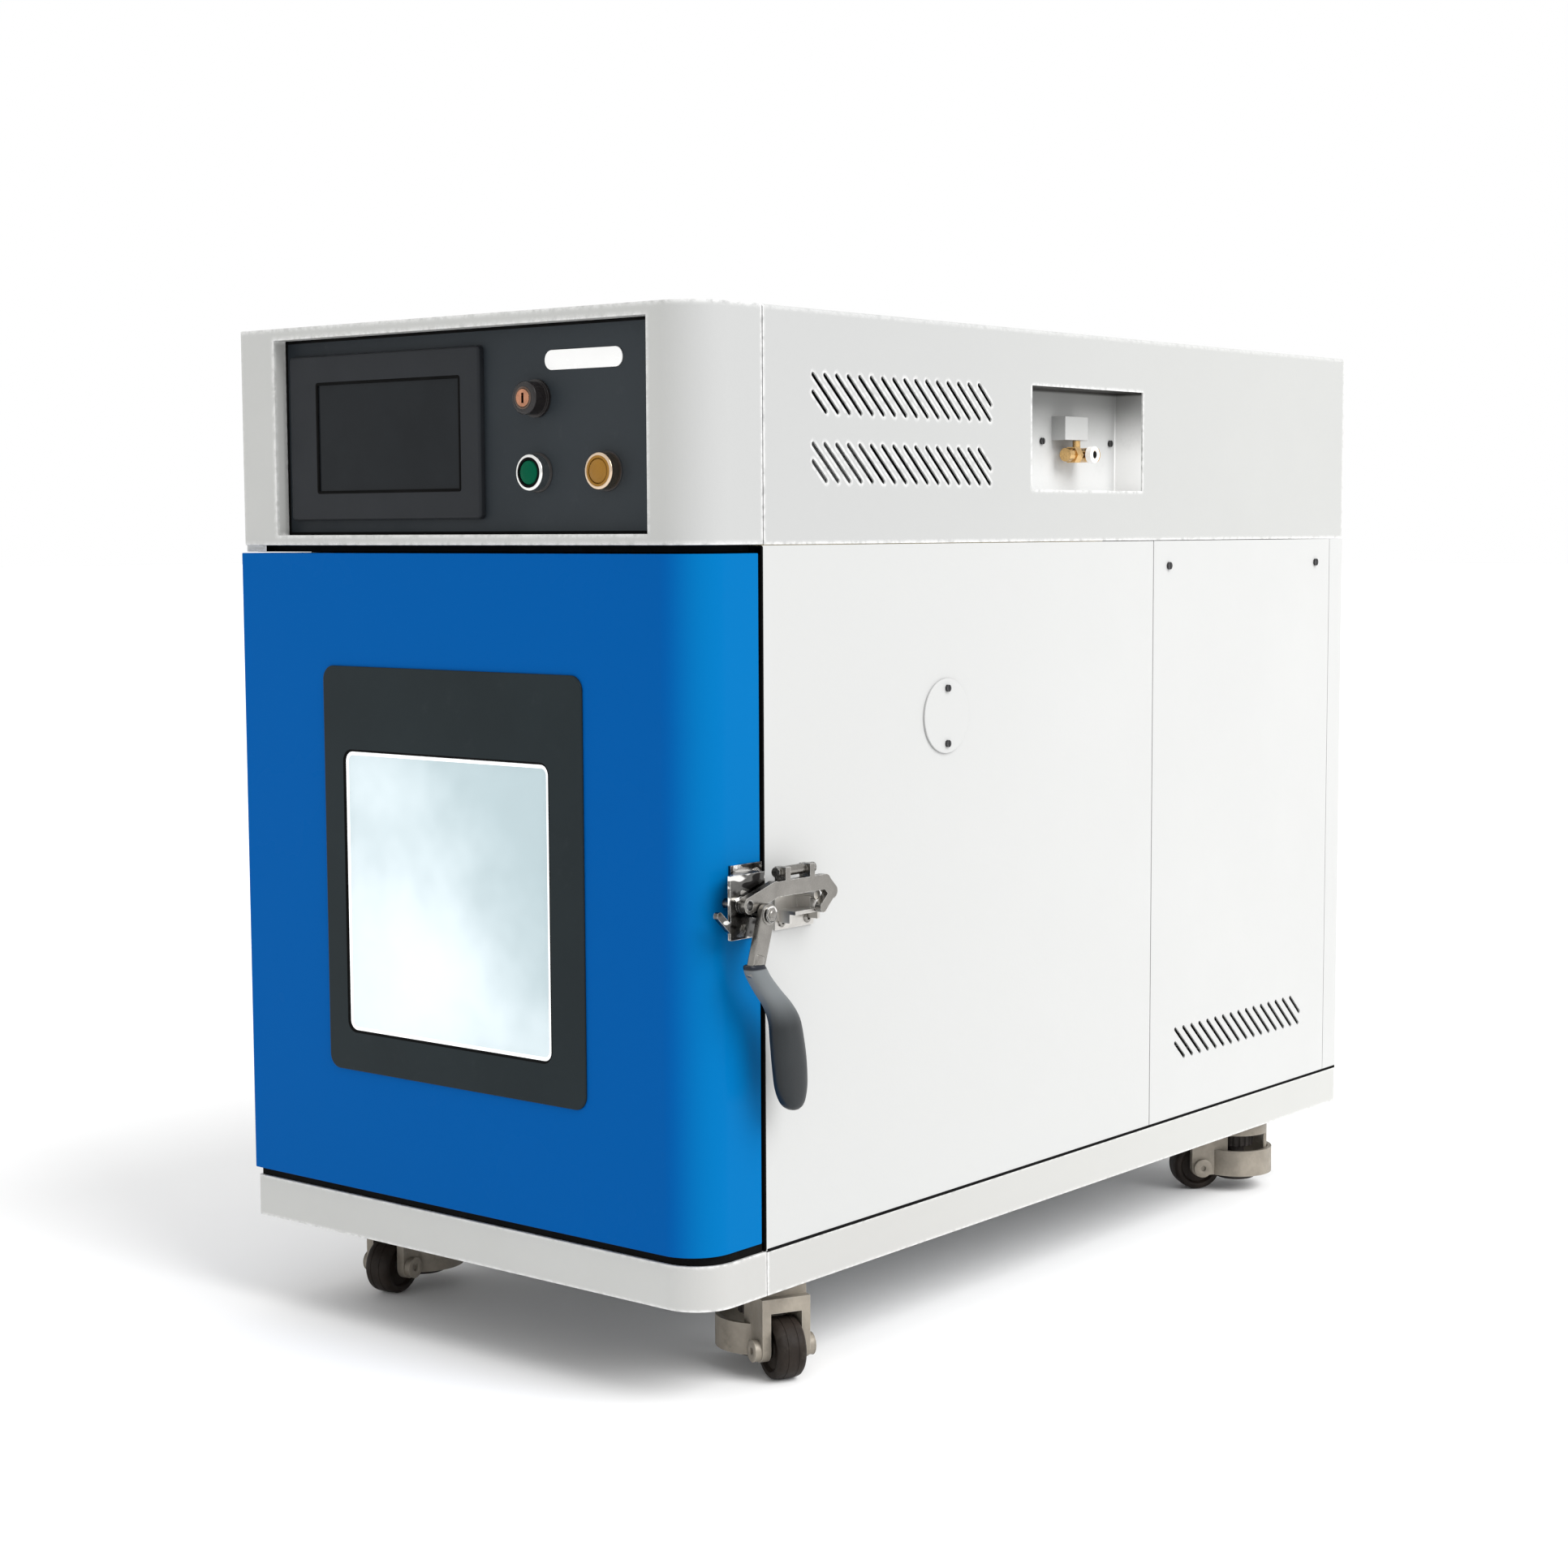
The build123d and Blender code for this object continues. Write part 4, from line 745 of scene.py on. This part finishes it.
# ---- controls -----------------------------------------------------------------------------------
def make_controls():
    soften("button_rings", 0.35)
    soften("key_switch_body", 0.5)
    soften("key_core", 0.35)
    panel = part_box("control_panel")[0].y
    dome = [
        (0, 12.35), (3.0, 12.3), (5.6, 12.1), (6.5, 11.95), (6.8, 11.8), (7.2, 11.8), (7.5, 11.85),
        (8.6, 11.4), (9.35, 10.7), (9.7, 9.6), (9.75, 6), (9.75, 3.9), (6.9, 3.9), (6.9, -17.9),
        (0, -17.9),
    ]
    sleeve = [
        (10.6, 1), (10.6, 10.8), (12.0, 10.8), (12.0, 11.1), (11.7, 11.35), (10.3, 11.4), (9.95, 11.0),
        (9.9, 9.4), (9.9, 1), (10.6, 1),
    ]
    collar = [(14.5, 0), (15.6, 0), (15.7, 0.5), (15.3, 0.9), (14.5, 1.0), (14.5, 0)]
    for name, inside in (("start", "black_and_painted_shade"), ("stop", "stop_plastic")):
        centre = middle(name + "_cap")
        centre.y = panel
        turned(name + "_cap_lens", centre, -Y, dome, name + "_button", name + "_plastic",
               (name + "_cap",))
        turned(name + "_sleeve", centre, -Y, sleeve, "cabinet", "switch_plastic",
               material=materials[inside])
        turned(name + "_collar", centre, -Y, collar, "cabinet", "switch_plastic")
    centre = middle("key_core")
    centre.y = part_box("key_switch_body")[0].y
    rim = [
        (7.1, -0.4), (7.15, 0.25), (7.5, 0.6), (8.3, 0.62), (8.8, 0.3), (9.0, -0.4), (7.1, -0.4),
    ]
    turned("key_rim", centre, -Y, rim, "cabinet", "key_brass", material=materials["key_rim"])


# ---- latch --------------------------------------------------------------------------------------
def smooth_row(rows, steps=5):
    """Runs a smooth curve through rows of numbers."""
    made = []
    last = len(rows) - 1
    for index in range(last):
        before, start = rows[max(0, index - 1)], rows[index]
        end, after = rows[index + 1], rows[min(last, index + 2)]
        for step in range(steps):
            t = step / steps
            weights = (
                -t**3 + 2 * t**2 - t, 3 * t**3 - 5 * t**2 + 2, -3 * t**3 + 4 * t**2 + t, t**3 - t**2,
            )
            made.append([
                sum(weight * number for weight, number in zip(weights, numbers)) / 2
                for numbers in zip(before, start, end, after)
            ])
    return made + [list(rows[-1])]


def make_grip():
    """The moulded grip: a flattened, swelling form that tapers to a round tip."""
    low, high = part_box("latch_grip")
    centre_x = (low.x + high.x) / 2
    thick = (high.x - low.x) / 2 / MM
    start = pivot("lever_pivot")
    # Each row: the middle's Y and Z from the lever's pivot, half of the width and the share of
    # the full thickness. The powers below square the section off a little.
    rows = [
        (-15, -37, 8.4, 0.62), (-14.2, -38.4, 9.3, 0.80), (-12.3, -42, 9.8, 0.90),
        (-8.5, -48, 10.3, 0.94), (1.5, -59.5, 11.8, 0.97), (13.5, -72, 13.4, 0.99),
        (21.5, -85, 15.3, 1.0), (25, -102, 16.9, 1.0), (27.5, -119, 17.4, 1.0),
        (29.5, -137, 16.3, 0.98), (30.9, -148, 12.6, 0.93), (31.8, -153.5, 8.4, 0.80),
        (32.3, -156.2, 4.2, 0.50),
    ]
    tip_y, tip_z = 32.5, -157.2
    steps = 40
    work = bmesh.new()
    rings = []
    for y, z, half, share in smooth_row(rows):
        ring = []
        for step in range(steps):
            turn = 2 * math.pi * step / steps
            across = math.copysign(abs(math.cos(turn)) ** 0.78, math.cos(turn))
            out = math.copysign(abs(math.sin(turn)) ** 0.62, math.sin(turn))
            spot = Vector((centre_x, start.y + (y + half * across) * MM, start.z + z * MM))
            ring.append(work.verts.new(spot + X * out * thick * share * MM))
        rings.append(ring)
    for one, two in zip(rings, rings[1:]):
        for step in range(steps):
            after = (step + 1) % steps
            work.faces.new((one[step], one[after], two[after], two[step]))
    work.faces.new(rings[0])
    tip = work.verts.new(Vector((centre_x, start.y + tip_y * MM, start.z + tip_z * MM)))
    for step in range(steps):
        work.faces.new((rings[-1][step], rings[-1][(step + 1) % steps], tip))
    mesh = close_mesh(work, "latch_grip_shape")
    finish_piece("latch_grip_shape", mesh, "latch_lever", "grip_plastic", ("latch_grip",))


def make_screws(name, places, axis, radius, body, slot):
    """Screw heads with a recess for the key, on one side of the cabinet."""
    work = bmesh.new()
    dome = [(radius, -0.4), (radius, 0.5), (radius * 0.86, 1.3), (radius * 0.5, 1.75)]
    recess = [(radius * 0.5, 1.75), (radius * 0.46, 1.6), (radius * 0.42, 0.3), (0, 0.2)]
    for place in places:
        lathe(work, place, axis, dome, 28)
        lathe(work, place, axis, recess, 28)
    bmesh.ops.remove_doubles(work, verts=work.verts, dist=JOIN_DISTANCE)
    finish_piece(name, close_mesh(work, name), body, slot)


def make_lever_nut(place):
    nut = [(6.4, 0.3), (6.4, 2.2), (5.6, 2.9), (3.3, 3.0)]
    bolt_end = [(3.3, 3.0), (3.2, 3.6), (2.4, 4.2), (0, 4.3)]
    washer = [(8.0, 0.05), (8.0, 0.6), (7.6, 0.8), (6.0, 0.8)]
    work = bmesh.new()
    for profile, steps in ((nut, 6), (bolt_end, 24), (washer, 32)):
        lathe(work, place, X, profile, steps)
    finish_piece("lever_nut", close_mesh(work, "lever_nut"), "door", "latch_nickel")


def make_grip_ferrule(place):
    """A flattened collar where the lever's flat arm enters the grip."""
    collar = [(0, 9.6), (6.0, 9.6), (7.2, 8.8), (7.6, 4), (7.2, 0.6), (6.0, 0), (0, 0)]
    arm = Vector((0, -13.5, -41.5)).normalized()
    flatness = 0.62
    centre = place - X * 3 * MM + arm * 32 * MM
    work = bmesh.new()
    lathe(work, centre, arm, collar, 32)
    bmesh.ops.remove_doubles(work, verts=work.verts, dist=JOIN_DISTANCE)
    for vert in work.verts:
        vert.co.x = centre.x + (vert.co.x - centre.x) * flatness
    finish_piece("grip_ferrule", close_mesh(work, "grip_ferrule"), "latch_lever", "latch_nickel")


def make_latch():
    make_grip()
    lever = pivot("lever_pivot")
    outside = Vector((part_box("latch_handle")[1].x, lever.y, lever.z))
    make_lever_nut(outside)
    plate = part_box("side_panel_right")[1].x + 2.5 * MM
    radius = 4.2
    near = Vector((plate, lever.y + 21 * MM, lever.z))
    places = [near + Z * step * MM for step in (-14.5, 27.5)]
    make_screws("bracket_screws", places, X, radius, "door", "latch_nickel")
    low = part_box("latch_keeper")[0]
    places = [Vector((plate, low.y + step * MM, low.z + 6 * MM)) for step in (8, 40)]
    make_screws("keeper_screws", places, X, radius, "cabinet", "latch_nickel")
    make_grip_ferrule(outside)


def make_hinge_screws():
    """Two screws in each leaf. There are two hinges, with their leaves in pairs."""
    half_leaf, half_spacing = 43 * MM, 28 * MM
    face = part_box("side_panel_left")[0].x - 2.5 * MM
    low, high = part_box("hinge_leaves_cabinet")
    heights = [
        middle_z + step
        for middle_z in (low.z + half_leaf, high.z - half_leaf)
        for step in (-half_spacing, half_spacing)
    ]
    for body, behind in (("cabinet", 97), ("door", 50)):
        places = [Vector((face, at(0, behind, 0).y, height)) for height in heights]
        make_screws("hinge_leaves_" + body + "_screws", places, -X, 4.6, body, "hinge_steel")


# ---- casters ------------------------------------------------------------------------------------
def make_casters():
    # From the wheel's bore over its hub and web to the middle of the tread
    half = [
        (4.05, 10.6), (7.6, 10.6), (8.3, 9.4), (10, 8.9), (16.8, 8.9), (17.8, 10.2), (18.8, 11.9),
        (20.4, 12.4), (22.6, 12.0), (24.2, 10.4), (24.8, 8.2), (24.9, 5.2), (24.55, 4.9), (24.55, 4.3),
        (24.95, 4.0), (25, 1.5),
    ]
    profile = half + [(radius, -along) for radius, along in reversed(half)] + half[:1]
    cap = [(9.2, 25.7), (9.3, 26.4), (8.4, 27.0), (3.6, 27.0), (3.0, 26.6), (2.8, 24.5), (0, 24.3)]
    for corner in CORNERS:
        axis = turn_axis("roll_" + corner)
        centre = pivot("roll_" + corner)
        turned("caster_wheel_shape_" + corner, centre, axis, profile, "wheel_" + corner,
               "wheel_plastic", ("caster_wheel_" + corner,), 72)
        soften("levelling_foot_" + corner, 0.6)
        work = bmesh.new()
        for side in (-1, 1):
            lathe(work, centre, axis * side, cap, 40)
        caps = close_mesh(work, "axle_caps")
        finish_piece("axle_caps_" + corner, caps, "caster_" + corner, "caster_zinc")


# ---- rear, water inlet and rotors ---------------------------------------------------------------
def make_small_parts():
    soften("fill_fitting", 0.45)
    soften("mains_gland", 0.5)
    soften("circulation_fan", 0.3)
    soften("electrical_tray", 1.0)
    low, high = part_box("fill_fitting")
    nozzle = Vector((high.x, high.y - 9.4 * MM, low.z + 7.1 * MM))
    nut = [(3.6, -1.5), (3.6, 0.2), (4.2, 0.9), (6.6, 0.9), (7.4, 0.2), (7.5, -5.2), (6.6, -5.6)]
    work = bmesh.new()
    lathe(work, nozzle, X, nut, 40)
    finish_piece("inlet_nut", close_mesh(work, "inlet_nut"), "cabinet", "badge_plastic")
    bore = [(0, -1.0), (3.5, -1.0), (3.5, -0.2), (3.2, 0.05), (0, 0.1)]
    turned("inlet_bore", nozzle, X, bore, "cabinet", "gland_plastic", steps=32,
           material=materials["black_and_painted_shade"])


# ---- light, floor and camera --------------------------------------------------------------------
def make_stage():
    low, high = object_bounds()
    reach = 30 * (high - low).length
    floor_z = low.z - 0.0002
    work = bmesh.new()
    corners = ((-reach, -reach), (reach, -reach), (reach, reach), (-reach, reach))
    work.faces.new([work.verts.new((x, y, floor_z)) for x, y in corners])
    mesh = bpy.data.meshes.new("floor")
    work.to_mesh(mesh)
    work.free()
    floor = bpy.data.objects.new("floor", mesh)
    scene.collection.objects.link(floor)
    stage = Finish("studio_floor", (0.9, 0.9, 0.9), 0.75, specular=0.1)
    mesh.materials.append(stage.mottle(0.005, 3).relief(90, 0.0001).done())

    world = bpy.data.worlds.new("studio")
    scene.world = world
    world.use_nodes = True
    background = world.node_tree.nodes["Background"]
    background.inputs["Color"].default_value = (1, 1, 1, 1)
    background.inputs["Strength"].default_value = 1.0

    towards_light = Vector((0.85, 0.05, 0.75))
    lamp = bpy.data.lights.new("key", "SUN")
    lamp.energy = 2.8
    lamp.angle = math.radians(42)
    key = bpy.data.objects.new("key", lamp)
    scene.collection.objects.link(key)
    key.rotation_mode = "QUATERNION"
    key.rotation_quaternion = (-towards_light).to_track_quat("-Z", "Y")


def make_camera():
    """The photographer's place: right of the front, at the height of the header."""
    place = at(1597.2, -1537.6, 681.4)
    right = Vector((0.774994, 0.631951, -0.004658))
    up = Vector((-0.055249, 0.075094, 0.995645))
    camera = bpy.data.cameras.new("camera")
    camera.lens = 62.46
    camera.sensor_width = 36
    camera.clip_start, camera.clip_end = 0.01, 200
    obj = bpy.data.objects.new("camera", camera)
    scene.collection.objects.link(obj)
    turn = Matrix((right, up, right.cross(up))).transposed().to_4x4()
    obj.matrix_world = Matrix.Translation(place) @ turn
    scene.camera = obj


make_shells()
paint_nodes()
make_seals()
make_gap_strips()
make_controls()
make_latch()
make_hinge_screws()
make_casters()
make_small_parts()
make_stage()
make_camera()
scene.view_settings.view_transform = "Standard"
